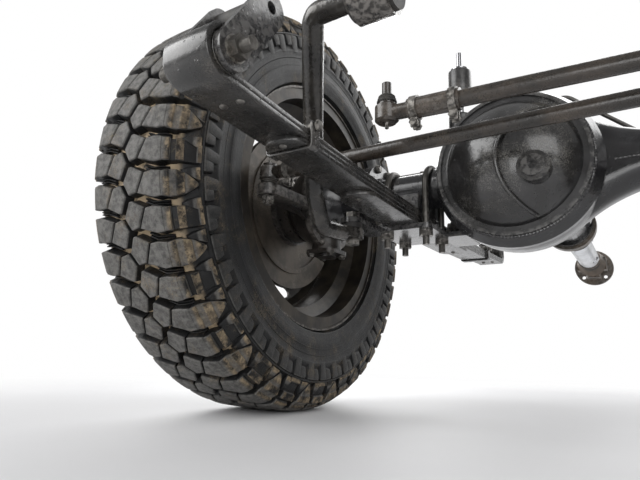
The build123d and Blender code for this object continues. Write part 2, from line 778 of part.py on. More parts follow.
with BuildPart() as fourth_leaves:
    for side in (-1, 1):
        add(short_leaf(side, FOURTH_LEAF_HALF, 3))

with BuildPart() as leaf_clips:
    for side in (-1, 1):
        for end in (-1, 1):
            half = 0.5 * LEAF_WIDTH + CLIP_GAP
            clip_bottom = leaf_z(CLIP_Y - 0.5 * CLIP_LENGTH, 3 * LEAF)
            clip_top = leaf_z(CLIP_Y, 0) + CLIP_ABOVE
            plane = along(side * SPRING_X, end * CLIP_Y - 0.5 * CLIP_LENGTH, 0)
            strap = outline(
                plane,
                (-half - CLIP, clip_top),
                (-half - CLIP, clip_bottom - CLIP),
                (half + CLIP, clip_bottom - CLIP),
                (half + CLIP, clip_top),
                (half, clip_top),
                (half, clip_bottom),
                (-half, clip_bottom),
                (-half, clip_top),
            )
            extrude(strap, amount=CLIP_LENGTH)

with BuildPart() as eye_bushes:
    for side in (-1, 1):
        for end in (-1, 1):
            plane = across(side * SPRING_X - 0.5 * LEAF_WIDTH - BUSH_PROUD, end * EYE_Y, EYE_Z)
            extrude(ring(plane, EYE_R, BUSH_BORE_R), amount=LEAF_WIDTH + 2 * BUSH_PROUD)

# Spring clamps: U-bolts over the tube and the plate below the leaves
UBOLT_BEND_R = TUBE_R + UBOLT_R + UBOLT_GAP
UBOLT_DX = 0.5 * LEAF_WIDTH + UBOLT_R + UBOLT_LEAF_GAP
UBOLT_END_Z = PACK_BOTTOM_Z - PLATE - UBOLT_TAIL
with BuildPart() as u_bolts_left:
    for dx in (-UBOLT_DX, UBOLT_DX):
        with BuildLine(across(SPRING_X + dx)) as bend:
            Line((-UBOLT_BEND_R, UBOLT_END_Z), (-UBOLT_BEND_R, 0))
            ThreePointArc((-UBOLT_BEND_R, 0), (0, UBOLT_BEND_R), (UBOLT_BEND_R, 0))
            Line((UBOLT_BEND_R, 0), (UBOLT_BEND_R, UBOLT_END_Z))
        sweep(ring(level(SPRING_X + dx, -UBOLT_BEND_R, UBOLT_END_Z), UBOLT_R), path=bend.line)

with BuildPart() as u_bolt_nuts:
    for side in (-1, 1):
        for dx in (-UBOLT_DX, UBOLT_DX):
            for y in (-UBOLT_BEND_R, UBOLT_BEND_R):
                plane = level(side * SPRING_X + dx, y, PACK_BOTTOM_Z - PLATE)
                extrude(hexagon(plane, 2 * NUT_R), amount=-NUT)
                extrude(ring(plane, UBOLT_R), amount=-NUT, mode=Mode.SUBTRACT)

with BuildPart() as spring_plate_left:
    with BuildSketch(level(SPRING_X, 0, PACK_BOTTOM_Z - PLATE)) as plate:
        RectangleRounded(PLATE_WIDTH, PLATE_LENGTH, PLATE_CORNER_R)
        with Locations((SWAY_EYE_X - SPRING_X, 0.5 * (SWAY_EYE_Y - SWAY_TAB_ROOT))):
            Rectangle(2 * SWAY_EYE_R, -SWAY_EYE_Y - SWAY_TAB_ROOT)
        with Locations((SWAY_EYE_X - SPRING_X, SWAY_EYE_Y)):
            Circle(SWAY_EYE_R)
            Circle(SWAY_BOLT_R, mode=Mode.SUBTRACT)
        bracket_end = DAMPER_Y + DAMPER_TAB_R
        with Locations((DAMPER_X - SPRING_X, 0.5 * (DAMPER_TAB_ROOT + bracket_end))):
            Rectangle(DAMPER_EYE_LENGTH + 2 * DAMPER_TAB, bracket_end - DAMPER_TAB_ROOT)
        with GridLocations(2 * UBOLT_DX, 2 * UBOLT_BEND_R, 2, 2):
            Circle(PLATE_HOLE_R, mode=Mode.SUBTRACT)
    extrude(amount=PLATE)
    for x in (-0.5 * DAMPER_EYE_LENGTH - DAMPER_TAB, 0.5 * DAMPER_EYE_LENGTH):
        with BuildSketch(across(DAMPER_X + x, DAMPER_Y, 0)) as tab:
            with Locations((0, DAMPER_Z)):
                Circle(DAMPER_TAB_R)
            with Locations((0, 0.5 * (PACK_BOTTOM_Z - DAMPER_TAB_SINK + DAMPER_Z))):
                Rectangle(2 * DAMPER_TAB_R, DAMPER_Z - PACK_BOTTOM_Z + DAMPER_TAB_SINK)
            with Locations((0, DAMPER_Z)):
                Circle(DAMPER_PIN_R, mode=Mode.SUBTRACT)
        extrude(tab.sketch, amount=DAMPER_TAB)

# Shackles from the front eyes to the frame
SHACKLE_HALF = 0.5 * LEAF_WIDTH + BUSH_PROUD
with BuildPart() as shackle_plates_left:
    for x in (SPRING_X - SHACKLE_HALF - SHACKLE_PLATE, SPRING_X + SHACKLE_HALF):
        with BuildSketch(across(x)) as link:
            with Locations((-EYE_Y, EYE_Z), (SHACKLE_TOP_Y, SHACKLE_TOP_Z)):
                Circle(SHACKLE_END_R)
            make_hull()
            with Locations((-EYE_Y, EYE_Z), (SHACKLE_TOP_Y, SHACKLE_TOP_Z)):
                Circle(SHACKLE_HOLE_R, mode=Mode.SUBTRACT)
        extrude(link.sketch, amount=SHACKLE_PLATE)

with BuildPart() as shackle_bushes:
    for side in (-1, 1):
        plane = across(side * SPRING_X - SHACKLE_HALF, SHACKLE_TOP_Y, SHACKLE_TOP_Z)
        extrude(ring(plane, SHACKLE_BUSH_R, SHACKLE_HOLE_R), amount=2 * SHACKLE_HALF)

with BuildPart() as shackle_bolts:
    for side in (-1, 1):
        start = side * SPRING_X - SHACKLE_HALF - SHACKLE_PLATE - SHACKLE_BOLT_TAIL
        reach = 2 * (SHACKLE_HALF + SHACKLE_PLATE + SHACKLE_BOLT_TAIL)
        extrude(ring(across(start, -EYE_Y, EYE_Z), SHACKLE_BOLT_R - SHACKLE_BOLT_GAP), amount=reach)
        for x in (-1, 1):
            face = side * SPRING_X + x * (SHACKLE_HALF + SHACKLE_PLATE)
            extrude(hexagon(across(face, -EYE_Y, EYE_Z), 2 * NUT_R), amount=x * NUT)

# Sway bar with its frame clamps and bushes
left_route = [Vector(SPRING_X + x, y, z) for x, y, z in SWAY_ROUTE]
right_route = [Vector(-p.X, p.Y, p.Z) for p in reversed(left_route)]
with BuildPart() as sway_bar:
    with BuildLine() as sway_line:
        FilletPolyline(*right_route, *left_route, radius=SWAY_BEND_R)
    sweep(ring(Plane(sway_line.line @ 0, z_dir=sway_line.line % 0), SWAY_R), path=sway_line.line)
    bar_end = SWAY_ROUTE[-1]
    for side in (-1, 1):
        with BuildSketch(level(0, 0, SWAY_EYE_Z - 0.5 * SWAY_EYE)) as paddle:
            with Locations((side * SWAY_EYE_X, SWAY_EYE_Y)):
                Circle(SWAY_EYE_R - SWAY_EYE_INSET)
            with Locations((side * (SPRING_X + bar_end[0]), bar_end[1])):
                Circle(SWAY_R)
            make_hull()
            with Locations((side * SWAY_EYE_X, SWAY_EYE_Y)):
                Circle(SWAY_BOLT_R, mode=Mode.SUBTRACT)
        extrude(paddle.sketch, amount=SWAY_EYE)

SWAY_EYE_TOP_Z = SWAY_EYE_Z + 0.5 * SWAY_EYE
with BuildPart() as sway_end_bushes:
    for side in (-1, 1):
        plane = level(side * SWAY_EYE_X, SWAY_EYE_Y, SWAY_EYE_TOP_Z)
        bush = ring(plane, SWAY_EYE_R - SWAY_END_BUSH_INSET, SWAY_BOLT_R)
        extrude(bush, amount=PACK_BOTTOM_Z - PLATE - SWAY_EYE_TOP_Z)

with BuildPart() as sway_end_bolts:
    for side in (-1, 1):
        head_z = SWAY_EYE_Z - 0.5 * SWAY_EYE
        head = level(side * SWAY_EYE_X, SWAY_EYE_Y, head_z)
        extrude(hexagon(head, 2 * NUT_R), amount=-NUT)
        extrude(ring(head, SWAY_BOLT_R), amount=PACK_BOTTOM_Z - head_z + NUT)
        extrude(hexagon(level(side * SWAY_EYE_X, SWAY_EYE_Y, PACK_BOTTOM_Z), 2 * NUT_R), amount=NUT)

SWAY_Y = SWAY_ROUTE[0][1]
SWAY_Z = SWAY_ROUTE[0][2]
with BuildPart() as sway_bushes:
    for side in (-1, 1):
        plane = across(side * SWAY_CLAMP_X - 0.5 * SWAY_CLAMP_WIDTH, SWAY_Y, SWAY_Z)
        extrude(ring(plane, SWAY_BUSH_R, SWAY_R), amount=SWAY_CLAMP_WIDTH)

with BuildPart() as sway_clamps:
    for side in (-1, 1):
        outer = SWAY_BUSH_R + SWAY_CLAMP
        plane = across(side * SWAY_CLAMP_X - 0.5 * SWAY_CLAMP_WIDTH + SWAY_BUSH_PROUD, SWAY_Y, SWAY_Z)
        with BuildSketch(plane) as saddle:
            Circle(outer)
            with Locations((0, 0.5 * SWAY_BUSH_R)):
                Rectangle(2 * outer, SWAY_BUSH_R)
            with Locations((0, SWAY_BUSH_R - 0.5 * SWAY_CLAMP)):
                Rectangle(SWAY_FOOT_LENGTH, SWAY_CLAMP)
            Circle(SWAY_BUSH_R, mode=Mode.SUBTRACT)
            with Locations((0, 0.5 * outer)):
                Rectangle(2 * SWAY_BUSH_R, outer, mode=Mode.SUBTRACT)
        extrude(saddle.sketch, amount=SWAY_CLAMP_WIDTH - 2 * SWAY_BUSH_PROUD)
        foot = level(side * SWAY_CLAMP_X, SWAY_Y, SWAY_Z + SWAY_BUSH_R)
        with BuildSketch(foot) as holes:
            with GridLocations(1, SWAY_FOOT_HOLE_SPACING, 1, 2):
                Circle(SWAY_FOOT_HOLE_R)
        extrude(holes.sketch, amount=-2 * SWAY_CLAMP, mode=Mode.SUBTRACT)

# Dampers stand behind the axle on a pin of the spring plate
DAMPER_FOOT_Z = DAMPER_Z + DAMPER_EYE_R - DAMPER_EYE_SINK
DAMPER_BODY_TOP_Z = DAMPER_FOOT_Z + DAMPER_BODY_LENGTH
with BuildPart() as damper_body_left:
    extrude(ring(level(DAMPER_X, DAMPER_Y, DAMPER_FOOT_Z), DAMPER_BODY_R), amount=DAMPER_BODY_LENGTH)
    fillet(damper_body_left.faces().filter_by(Axis.Z).edges(), DAMPER_BODY_EDGE_R)
    eye_face = across(DAMPER_X - 0.5 * DAMPER_EYE_LENGTH, DAMPER_Y, DAMPER_Z)
    extrude(ring(eye_face, DAMPER_EYE_R), amount=DAMPER_EYE_LENGTH)
    extrude(ring(eye_face, DAMPER_PIN_R), amount=DAMPER_EYE_LENGTH, mode=Mode.SUBTRACT)
    extrude(
        ring(level(DAMPER_X, DAMPER_Y, DAMPER_BODY_TOP_Z - DAMPER_ROD_SUNK), DAMPER_ROD_R),
        amount=DAMPER_ROD_SUNK,
        mode=Mode.SUBTRACT,
    )

with BuildPart() as damper_rod_left:
    extrude(
        ring(level(DAMPER_X, DAMPER_Y, DAMPER_BODY_TOP_Z - DAMPER_ROD_SUNK), DAMPER_ROD_R),
        amount=DAMPER_ROD_SUNK + DAMPER_ROD_LENGTH,
    )
    shoulder = level(DAMPER_X, DAMPER_Y, DAMPER_BODY_TOP_Z + DAMPER_ROD_LENGTH)
    extrude(ring(shoulder, DAMPER_WASHER_R), amount=-DAMPER_WASHER)
    extrude(ring(shoulder, DAMPER_STEM_R), amount=DAMPER_STEM_LENGTH)

with BuildPart() as damper_pins:
    for side in (-1, 1):
        start = side * DAMPER_X - 0.5 * DAMPER_EYE_LENGTH - DAMPER_TAB
        pin = ring(across(start, DAMPER_Y, DAMPER_Z), DAMPER_PIN_R)
        extrude(pin, amount=DAMPER_EYE_LENGTH + 2 * DAMPER_TAB)

# Steering knuckle on the ball end, with its kingpin caps, seal ring, caliper lugs and forward arm
def at_s(s):
    """Plane across the wheel's axis, s outboard of the kingpin."""
    return across(KINGPIN_X + s)


def knuckle(arm_eyes):
    """Knuckle on the left, with an arm that carries eyes listed as (inboard, forward, gap)."""
    root_y = ARM_ROOT_INSET - KNUCKLE_R
    seal_s = KNUCKLE_OPEN_S + SEAL_WIDTH
    middle_s = 0.5 * (seal_s + SPINDLE_BODY_S)
    flange_s = SPINDLE_FLANGE_S - SPINDLE_FLANGE
    with BuildPart() as body:
        with BuildSketch(Plane.XY.shift_origin((KINGPIN_X, 0, 0))) as half:
            with BuildLine():
                seal_line = Polyline(
                    (SPINDLE_BODY_S, SPINDLE_BODY_R),
                    (flange_s, SPINDLE_BODY_R),
                    (flange_s, SPINDLE_FLANGE_R),
                    (SPINDLE_FLANGE_S, SPINDLE_FLANGE_R),
                    (SPINDLE_FLANGE_S, SPINDLE_R),
                    (SPINDLE_END_S, SPINDLE_R),
                    (SPINDLE_END_S, 0),
                    (KNUCKLE_OPEN_S, 0),
                    (KNUCKLE_OPEN_S, SEAL_R),
                    (seal_s, SEAL_R),
                    (seal_s, sqrt(KNUCKLE_R**2 - seal_s**2)),
                )
                middle = (middle_s, sqrt(KNUCKLE_R**2 - middle_s**2))
                ball_end = (SPINDLE_BODY_S, sqrt(KNUCKLE_R**2 - SPINDLE_BODY_S**2))
                ThreePointArc(seal_line @ 1, middle, ball_end)
                Line(ball_end, seal_line @ 0)
            make_face()
        revolve(axis=Axis.X)
        extrude(ring(level(KINGPIN_X, 0, -TRUNNION_TOP), TRUNNION_R), amount=2 * TRUNNION_TOP)
        for side in (-1, 1):
            with BuildSketch(level(KINGPIN_X, 0, side * TRUNNION_TOP)) as cap:
                RectangleRounded(CAP_SIZE, CAP_SIZE, CAP_CORNER_R)
            extrude(cap.sketch, amount=-side * CAP)
            extrude(ring(level(KINGPIN_X, 0, side * TRUNNION_TOP), CAP_DOME_R), amount=side * CAP_DOME)
        for side in (-1, 1):
            with BuildSketch(at_s(flange_s)) as lug:
                with Locations((CALIPER_LUG_ROOT_Y, side * CALIPER_LUG_ROOT_Z)):
                    Circle(CALIPER_LUG_ROOT_R)
                with Locations((CALIPER_LUG_Y, side * CALIPER_LUG_Z)):
                    Circle(CALIPER_LUG_R)
                make_hull()
            extrude(lug.sketch, amount=SPINDLE_FLANGE)
        for inboard, forward, gap in arm_eyes:
            with BuildSketch(level(KINGPIN_X, 0, ARM_Z - 0.5 * ARM)) as arm:
                with Locations((-ARM_ROOT_HALF, root_y), (ARM_ROOT_HALF, root_y)):
                    Circle(ARM_ROOT_R)
                with Locations((-inboard, -forward)):
                    Circle(ARM_EYE_R)
                make_hull()
            extrude(arm.sketch, amount=ARM)
        rib = outline(
            across(KINGPIN_X - 0.5 * ARM_RIB),
            (root_y, ARM_Z),
            (ARM_RIB_END - ARM_LENGTH, ARM_Z),
            (root_y, ARM_Z - ARM_RIB_DEPTH),
        )
        extrude(rib, amount=ARM_RIB)
        for inboard, forward, gap in arm_eyes:
            plane = level(KINGPIN_X - inboard, -forward, ARM_Z - 0.5 * ARM)
            extrude(ring(plane, STUD_R + gap), amount=ARM, mode=Mode.SUBTRACT)
        with Locations((KINGPIN_X, 0, 0)):
            Sphere(BALL_R + BALL_GAP, mode=Mode.SUBTRACT)
    return body.part


with BuildPart() as knuckle_left:
    add(knuckle(((0, ARM_LENGTH, OPEN_STUD_GAP), (DRAG_INBOARD, ARM_LENGTH + LINK_SPACING, STUD_GAP))))

with BuildPart() as knuckle_right:
    mirror(knuckle(((0, ARM_LENGTH, STUD_GAP),)), about=Plane.YZ)


# Steering bars with a ball joint at each end and an adjusting sleeve
def ball_housing(x, y, z):
    """Housing of a ball joint at the end of a bar, round a vertical axis."""
    low, high = z - 0.5 * BALL_HOUSING_HEIGHT, z + 0.5 * BALL_HOUSING_HEIGHT
    section = outline(
        Plane.XZ.offset(-y),
        (x, low),
        (x + BALL_HOUSING_R - BALL_HOUSING_EDGE, low),
        (x + BALL_HOUSING_R, low + BALL_HOUSING_EDGE),
        (x + BALL_HOUSING_R, high - BALL_HOUSING_EDGE),
        (x + BALL_CAP_R, high),
        (x + BALL_CAP_R, high + BALL_CAP),
        (x, high + BALL_CAP),
    )
    revolve(section, axis=Axis((x, y, 0), (0, 0, 1)))


STUD_END_Z = ARM_Z - 0.5 * ARM - STUD_TAIL
with BuildPart() as tie_rod:
    extrude(ring(across(-KINGPIN_X, -ARM_LENGTH, ROD_Z), ROD_R), amount=2 * KINGPIN_X)
    for side in (-1, 1):
        sleeve = across(side * (KINGPIN_X - ROD_SLEEVE_START), -ARM_LENGTH, ROD_Z)
        extrude(ring(sleeve, ROD_SLEEVE_R), amount=-side * ROD_SLEEVE_LENGTH)
        ball_housing(side * KINGPIN_X, -ARM_LENGTH, ROD_Z)
        extrude(ring(level(side * KINGPIN_X, -ARM_LENGTH, STUD_END_Z), STUD_R), amount=ROD_Z - STUD_END_Z)

DRAG_Y = -(ARM_LENGTH + LINK_SPACING)
DRAG_X = KINGPIN_X - DRAG_INBOARD
with BuildPart() as drag_link:
    drag_from = Vector(DRAG_END_X, DRAG_Y, DRAG_END_Z)
    drag_to = Vector(DRAG_X, DRAG_Y, ROD_Z)
    drag_plane = Plane(origin=drag_from, z_dir=drag_to - drag_from)
    extrude(ring(drag_plane, ROD_R), amount=(drag_to - drag_from).length)
    extrude(ring(drag_plane.offset(ROD_SLEEVE_START), ROD_SLEEVE_R), amount=ROD_SLEEVE_LENGTH)
    ball_housing(DRAG_X, DRAG_Y, ROD_Z)
    extrude(ring(level(DRAG_X, DRAG_Y, STUD_END_Z), STUD_R), amount=ROD_Z - STUD_END_Z)
    ball_housing(DRAG_END_X, DRAG_Y, DRAG_END_Z)
    stud_reach = 0.5 * BALL_HOUSING_HEIGHT + DRAG_STUD
    extrude(ring(level(DRAG_END_X, DRAG_Y, DRAG_END_Z), STUD_R), amount=stud_reach)


# Wheel end, modelled on the left; s counts outboard of the kingpin
def sector(plane, angle):
    """Outline that widens to the rear behind the shield's cut, angle degrees wide at the wheel's axis."""
    slope = tan(0.5 * angle * pi / 180)
    near, far = SHIELD_CUT, 2 * DISC_R
    return outline(plane, (near, near * slope), (far, far * slope), (far, -far * slope), (near, -near * slope))


with BuildPart() as dust_shield_left:
    extrude(ring(at_s(SPINDLE_FLANGE_S), SHIELD_R, SPINDLE_R + SHIELD_BORE_GAP), amount=SHIELD)
    extrude(ring(at_s(SPINDLE_FLANGE_S), SHIELD_R, SHIELD_R - SHIELD), amount=SHIELD_LIP)
    bead_r = SHIELD_R - SHIELD_BEAD_INSET
    bead = ring(at_s(SPINDLE_FLANGE_S), bead_r, bead_r - SHIELD_BEAD_WIDTH)
    extrude(bead, amount=-SHIELD_BEAD)
    opening = sector(at_s(SPINDLE_FLANGE_S - SHIELD_BEAD), CALIPER_ARC + 2 * CALIPER_ARC_GAP)
    extrude(opening, amount=SHIELD_BEAD + SHIELD_LIP, mode=Mode.SUBTRACT)

HAT_END_S = WHEEL_SEAT_S - HUB_FLANGE
with BuildPart() as brake_disc_left:
    extrude(ring(at_s(DISC_S), DISC_R, HUB_BODY_R + DISC_BORE_GAP), amount=DISC)
    extrude(ring(at_s(DISC_S), DISC_HAT_R, HUB_BODY_R + DISC_BORE_GAP), amount=HAT_END_S - DISC_S)

with BuildPart() as caliper_left:
    extrude(ring(at_s(SPINDLE_FLANGE_S), CALIPER_R, DISC_R - CALIPER_INNER_DEPTH), amount=CALIPER_WIDTH)
    extrude(sector(at_s(SPINDLE_FLANGE_S), CALIPER_ARC), amount=CALIPER_WIDTH, mode=Mode.INTERSECT)
    slot = ring(at_s(DISC_S - CALIPER_GAP), DISC_R + CALIPER_GAP)
    extrude(slot, amount=DISC + 2 * CALIPER_GAP, mode=Mode.SUBTRACT)
    piston = across(KINGPIN_X + SPINDLE_FLANGE_S, CALIPER_R - PISTON_INSET, 0)
    extrude(ring(piston, PISTON_R), amount=-PISTON_LENGTH)

with BuildPart() as hub_left:
    start = SPINDLE_FLANGE_S + SHIELD + HUB_START_GAP
    extrude(ring(at_s(start), HUB_BODY_R), amount=WHEEL_SEAT_S - start)
    extrude(ring(at_s(HAT_END_S), HUB_FLANGE_R), amount=HUB_FLANGE)
    extrude(ring(at_s(WHEEL_SEAT_S), HUB_NOSE_R), amount=HUB_NOSE_END_S - WHEEL_SEAT_S)
    bore_end_s = SPINDLE_END_S + HUB_START_GAP
    extrude(ring(at_s(start), SPINDLE_R + RUNNING_GAP), amount=bore_end_s - start, mode=Mode.SUBTRACT)
    with BuildSketch(at_s(HAT_END_S)) as studs:
        with PolarLocations(STUD_CIRCLE_R, STUD_COUNT):
            Circle(WHEEL_STUD_R)
    extrude(studs.sketch, amount=HUB_FLANGE + WHEEL_STUD_LENGTH)

with BuildPart() as locking_hub_left:
    extrude(ring(at_s(HUB_NOSE_END_S), LOCK_R), amount=LOCK_FLANGE)
    lean = atan2(LOCK_BODY_R - LOCK_FACE_R, LOCK_LENGTH - LOCK_FLANGE) * 180 / pi
    extrude(ring(at_s(HUB_NOSE_END_S + LOCK_FLANGE), LOCK_BODY_R), amount=LOCK_LENGTH - LOCK_FLANGE, taper=lean)
    face = at_s(HUB_NOSE_END_S + LOCK_LENGTH)
    extrude(ring(face, DIAL_R), amount=-DIAL_DEPTH, mode=Mode.SUBTRACT)
    with BuildSketch(face) as grip:
        SlotOverall(DIAL_GRIP_LENGTH, DIAL_GRIP)
    extrude(grip.sketch, amount=-DIAL_DEPTH)

# Steel rim: barrel with its drop centre, and the nave with stud holes and hand holes
SEAT_X = HALF_TRACK + WHEEL_OFFSET
INNER_X = HALF_TRACK - RIM_HALF
OUTER_X = HALF_TRACK + RIM_HALF
with BuildSketch() as hand_hole:
    with Locations((0, VENT_SPREAD), (0, -VENT_SPREAD)):
        Circle(VENT_R)
    with Locations((-VENT_FALL, 0)):
        Circle(VENT_BOTTOM_R)
    make_hull()
with BuildPart() as rim_left:
    with BuildSketch(Plane.XY) as barrel:
        with BuildLine():
            Polyline(
                (INNER_X - RIM_LIP, RIM_FLANGE_R),
                (INNER_X, RIM_FLANGE_R),
                (INNER_X, SEAT_R),
                (INNER_X + INNER_SEAT, SEAT_R),
                (INNER_X + INNER_SEAT + INNER_SLOPE, WELL_R),
                (OUTER_X - OUTER_SEAT - OUTER_SLOPE, WELL_R),
                (OUTER_X - OUTER_SEAT, SEAT_R),
                (OUTER_X, SEAT_R),
                (OUTER_X, RIM_FLANGE_R),
                (OUTER_X + RIM_LIP, RIM_FLANGE_R),
            )
            offset(amount=RIM, side=Side.RIGHT, kind=Kind.INTERSECTION)
        make_face()
    revolve(axis=Axis.X)
    with BuildSketch(Plane.XY) as nave:
        with BuildLine():
            Polyline((SEAT_X, NAVE_BORE_R), *[(SEAT_X + u, WELL_R - depth) for u, depth in NAVE])
            offset(amount=RIM, side=Side.RIGHT, kind=Kind.INTERSECTION)
        make_face()
    revolve(axis=Axis.X)
    with BuildSketch(across(INNER_X)) as holes:
        with PolarLocations(STUD_CIRCLE_R, STUD_COUNT):
            Circle(WHEEL_STUD_R + WHEEL_HOLE_GAP)
        with PolarLocations(WELL_R - VENT_DEPTH, VENT_COUNT):
            add(hand_hole.sketch)
    extrude(holes.sketch, amount=2 * RIM_HALF, mode=Mode.SUBTRACT)


# Tyre: each half is a many-sided casing with a row of lugs, staggered by half a pitch
def facet_band(start, end, start_r, end_r, turn):
    """Many-sided drum that narrows from u = start to end; turn counts in pitches."""
    with BuildSketch(across(HALF_TRACK + start)) as section:
        RegularPolygon(start_r, LUG_COUNT, major_radius=False, rotation=(turn + 0.5) * 360 / LUG_COUNT)
    lean = atan2(start_r - end_r, end - start) * 180 / pi
    return extrude(section.sketch, amount=end - start, taper=lean)


def half_tread(turn):
    """Outer half of the tread."""
    with BuildPart() as envelope:
        facet_band(0, TREAD_HALF, TYRE_R, TYRE_R, turn)
        facet_band(TREAD_HALF, SIDEWALL_HALF, TYRE_R, LUG_EDGE_R, turn)
    with BuildPart() as lugs:
        with BuildSketch(across(HALF_TRACK + 0.5 * CENTRE_GROOVE)) as row:
            with PolarLocations(0.5 * (LUG_ROOT_R + TYRE_R), LUG_COUNT, start_angle=turn * 360 / LUG_COUNT):
                Rectangle(TYRE_R - LUG_ROOT_R, LUG_WIDTH)
        extrude(row.sketch, amount=SIDEWALL_HALF - 0.5 * CENTRE_GROOVE)
        add(envelope.part, mode=Mode.INTERSECT)
    with BuildPart() as half:
        facet_band(0, SIDEWALL_HALF, CROWN_R, CASING_EDGE_R, turn)
        add(lugs.part)
    return half.part


with BuildPart() as tyre_left:
    add(half_tread(0))
    mirror(half_tread(0.5), about=Plane.YZ.offset(HALF_TRACK))
    with BuildSketch(across(HALF_TRACK)) as bore:
        RegularPolygon(SEAT_R + BEAD_GAP, LUG_COUNT, major_radius=False)
    extrude(bore.sketch, amount=2 * SIDEWALL_HALF, both=True, mode=Mode.SUBTRACT)
    dish_depth = SIDEWALL_HALF - BEAD_HALF
    dish_lean = atan2(SIDEWALL_R - RIM_FLANGE_R, dish_depth) * 180 / pi
    for side in (-1, 1):
        face = Plane(origin=(HALF_TRACK + side * SIDEWALL_HALF, 0, 0), x_dir=(0, 1, 0), z_dir=(-side, 0, 0))
        with BuildSketch(face) as dish:
            RegularPolygon(SIDEWALL_R, LUG_COUNT, major_radius=False)
        extrude(dish.sketch, amount=dish_depth, taper=dish_lean, mode=Mode.SUBTRACT)

# Brake pipe along the top of the housing, from the right ball flange to the long tube
PIPE_TOP_Z = BANJO_R + PIPE_R + PIPE_GAP
PIPE_TUBE_Z = TUBE_R + PIPE_OVER_TUBE
with BuildPart() as brake_pipe:
    with BuildLine() as pipe_line:
        FilletPolyline(
            (BALL_FLANGE_THICKNESS + PIPE_GAP - BALL_FLANGE_X, PIPE_Y, PIPE_TUBE_Z),
            (DIFF_X - PIPE_RISE, PIPE_Y, PIPE_TUBE_Z),
            (DIFF_X - PIPE_TOP_START, PIPE_TOP_Y, PIPE_TOP_Z),
            (DIFF_X + PIPE_TOP_END, PIPE_TOP_Y, PIPE_TOP_Z),
            (DIFF_X + PIPE_FALL, PIPE_END_Y, TUBE_R + PIPE_FALL_OVER_TUBE),
            (DIFF_X + BANJO_LONG_REACH, PIPE_END_Y, TUBE_R + PIPE_END_OVER_TUBE),
            radius=PIPE_BEND_R,
        )
    sweep(ring(Plane(pipe_line.line @ 0, z_dir=pipe_line.line % 0), PIPE_R), path=pipe_line.line)

PIECES = {
    "axle_housing": axle_housing.part,
    "axle_cover": axle_cover.part,
    "filler_plug": filler_plug.part,
    "diff_carrier": diff_carrier.part,
    "pinion_flange": pinion_flange.part,
    "propshaft_front_yoke": propshaft_front_yoke.part,
    "propshaft_crosses": propshaft_crosses.part,
    "propshaft_tube": propshaft_tube.part,
    "propshaft_slip_yoke": propshaft_slip_yoke.part,
    "propshaft_rear_flange": propshaft_rear_flange.part,
    "third_leaves": third_leaves.part,
    "fourth_leaves": fourth_leaves.part,
    "leaf_clips": leaf_clips.part,
    "eye_bushes": eye_bushes.part,
    "u_bolt_nuts": u_bolt_nuts.part,
    "shackle_bushes": shackle_bushes.part,
    "shackle_bolts": shackle_bolts.part,
    "sway_bar": sway_bar.part,
    "sway_bushes": sway_bushes.part,
    "sway_clamps": sway_clamps.part,
    "sway_end_bushes": sway_end_bushes.part,
    "sway_end_bolts": sway_end_bolts.part,
    "damper_pins": damper_pins.part,
    "knuckle_right": knuckle_right.part,
    "knuckle_left": knuckle_left.part,
    "tie_rod": tie_rod.part,
    "drag_link": drag_link.part,
    "brake_pipe": brake_pipe.part,
}
PAIRS = {
    "main_leaf": main_leaf_left.part,
    "wrapper_leaf": wrapper_leaf_left.part,
    "u_bolts": u_bolts_left.part,
    "spring_plate": spring_plate_left.part,
    "shackle_plates": shackle_plates_left.part,
    "damper_body": damper_body_left.part,
    "damper_rod": damper_rod_left.part,
    "dust_shield": dust_shield_left.part,
    "brake_disc": brake_disc_left.part,
    "caliper": caliper_left.part,
    "hub": hub_left.part,
    "locking_hub": locking_hub_left.part,
    "rim": rim_left.part,
    "tyre": tyre_left.part,
}
for name, left in PAIRS.items():
    PIECES[name + "_left"] = left
    PIECES[name + "_right"] = mirror(left, about=Plane.YZ)

os.makedirs("parts", exist_ok=True)
for name, piece in PIECES.items():
    moved = piece.moved(Location(-ORIGIN))
    moved.label = name
    export_step(moved, f"parts/{name}.step")
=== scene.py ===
import json
import logging
from dataclasses import dataclass
from enum import Enum
from math import cos, pi, radians, sin

import bmesh
import bpy
import numpy as np
from mathutils import Matrix, Vector


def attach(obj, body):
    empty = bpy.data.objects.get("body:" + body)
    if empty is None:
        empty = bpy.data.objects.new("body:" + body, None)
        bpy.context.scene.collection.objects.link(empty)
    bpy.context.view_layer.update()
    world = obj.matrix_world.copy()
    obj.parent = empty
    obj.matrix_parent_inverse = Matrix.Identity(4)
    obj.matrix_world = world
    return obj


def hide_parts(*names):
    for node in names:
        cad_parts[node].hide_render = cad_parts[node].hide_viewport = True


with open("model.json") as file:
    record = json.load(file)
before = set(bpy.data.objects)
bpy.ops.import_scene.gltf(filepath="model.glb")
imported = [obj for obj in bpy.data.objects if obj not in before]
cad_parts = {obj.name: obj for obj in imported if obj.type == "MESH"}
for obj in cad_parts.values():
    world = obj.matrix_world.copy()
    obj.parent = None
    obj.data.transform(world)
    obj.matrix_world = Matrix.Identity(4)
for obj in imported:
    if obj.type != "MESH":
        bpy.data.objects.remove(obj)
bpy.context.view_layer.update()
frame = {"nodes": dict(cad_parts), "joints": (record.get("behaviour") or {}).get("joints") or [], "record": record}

log = logging.getLogger("front_axle")

Rgb = tuple[float, float, float]
Socket = bpy.types.NodeSocket
STEEL, PAINT, RUBBER = "fastener_steel", "spring_paint", "bush_rubber"
ACROSS, UP = (1, 0, 0), (0, 0, 1)


def joint_place(name: str) -> np.ndarray:
    """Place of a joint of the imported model, in metres in the row's frame."""
    return np.array(next(j["pos_m"] for j in frame["joints"] if j["name"] == name))


AXLE_CENTRE = 0.5 * (joint_place("steer_right") + joint_place("steer_left"))


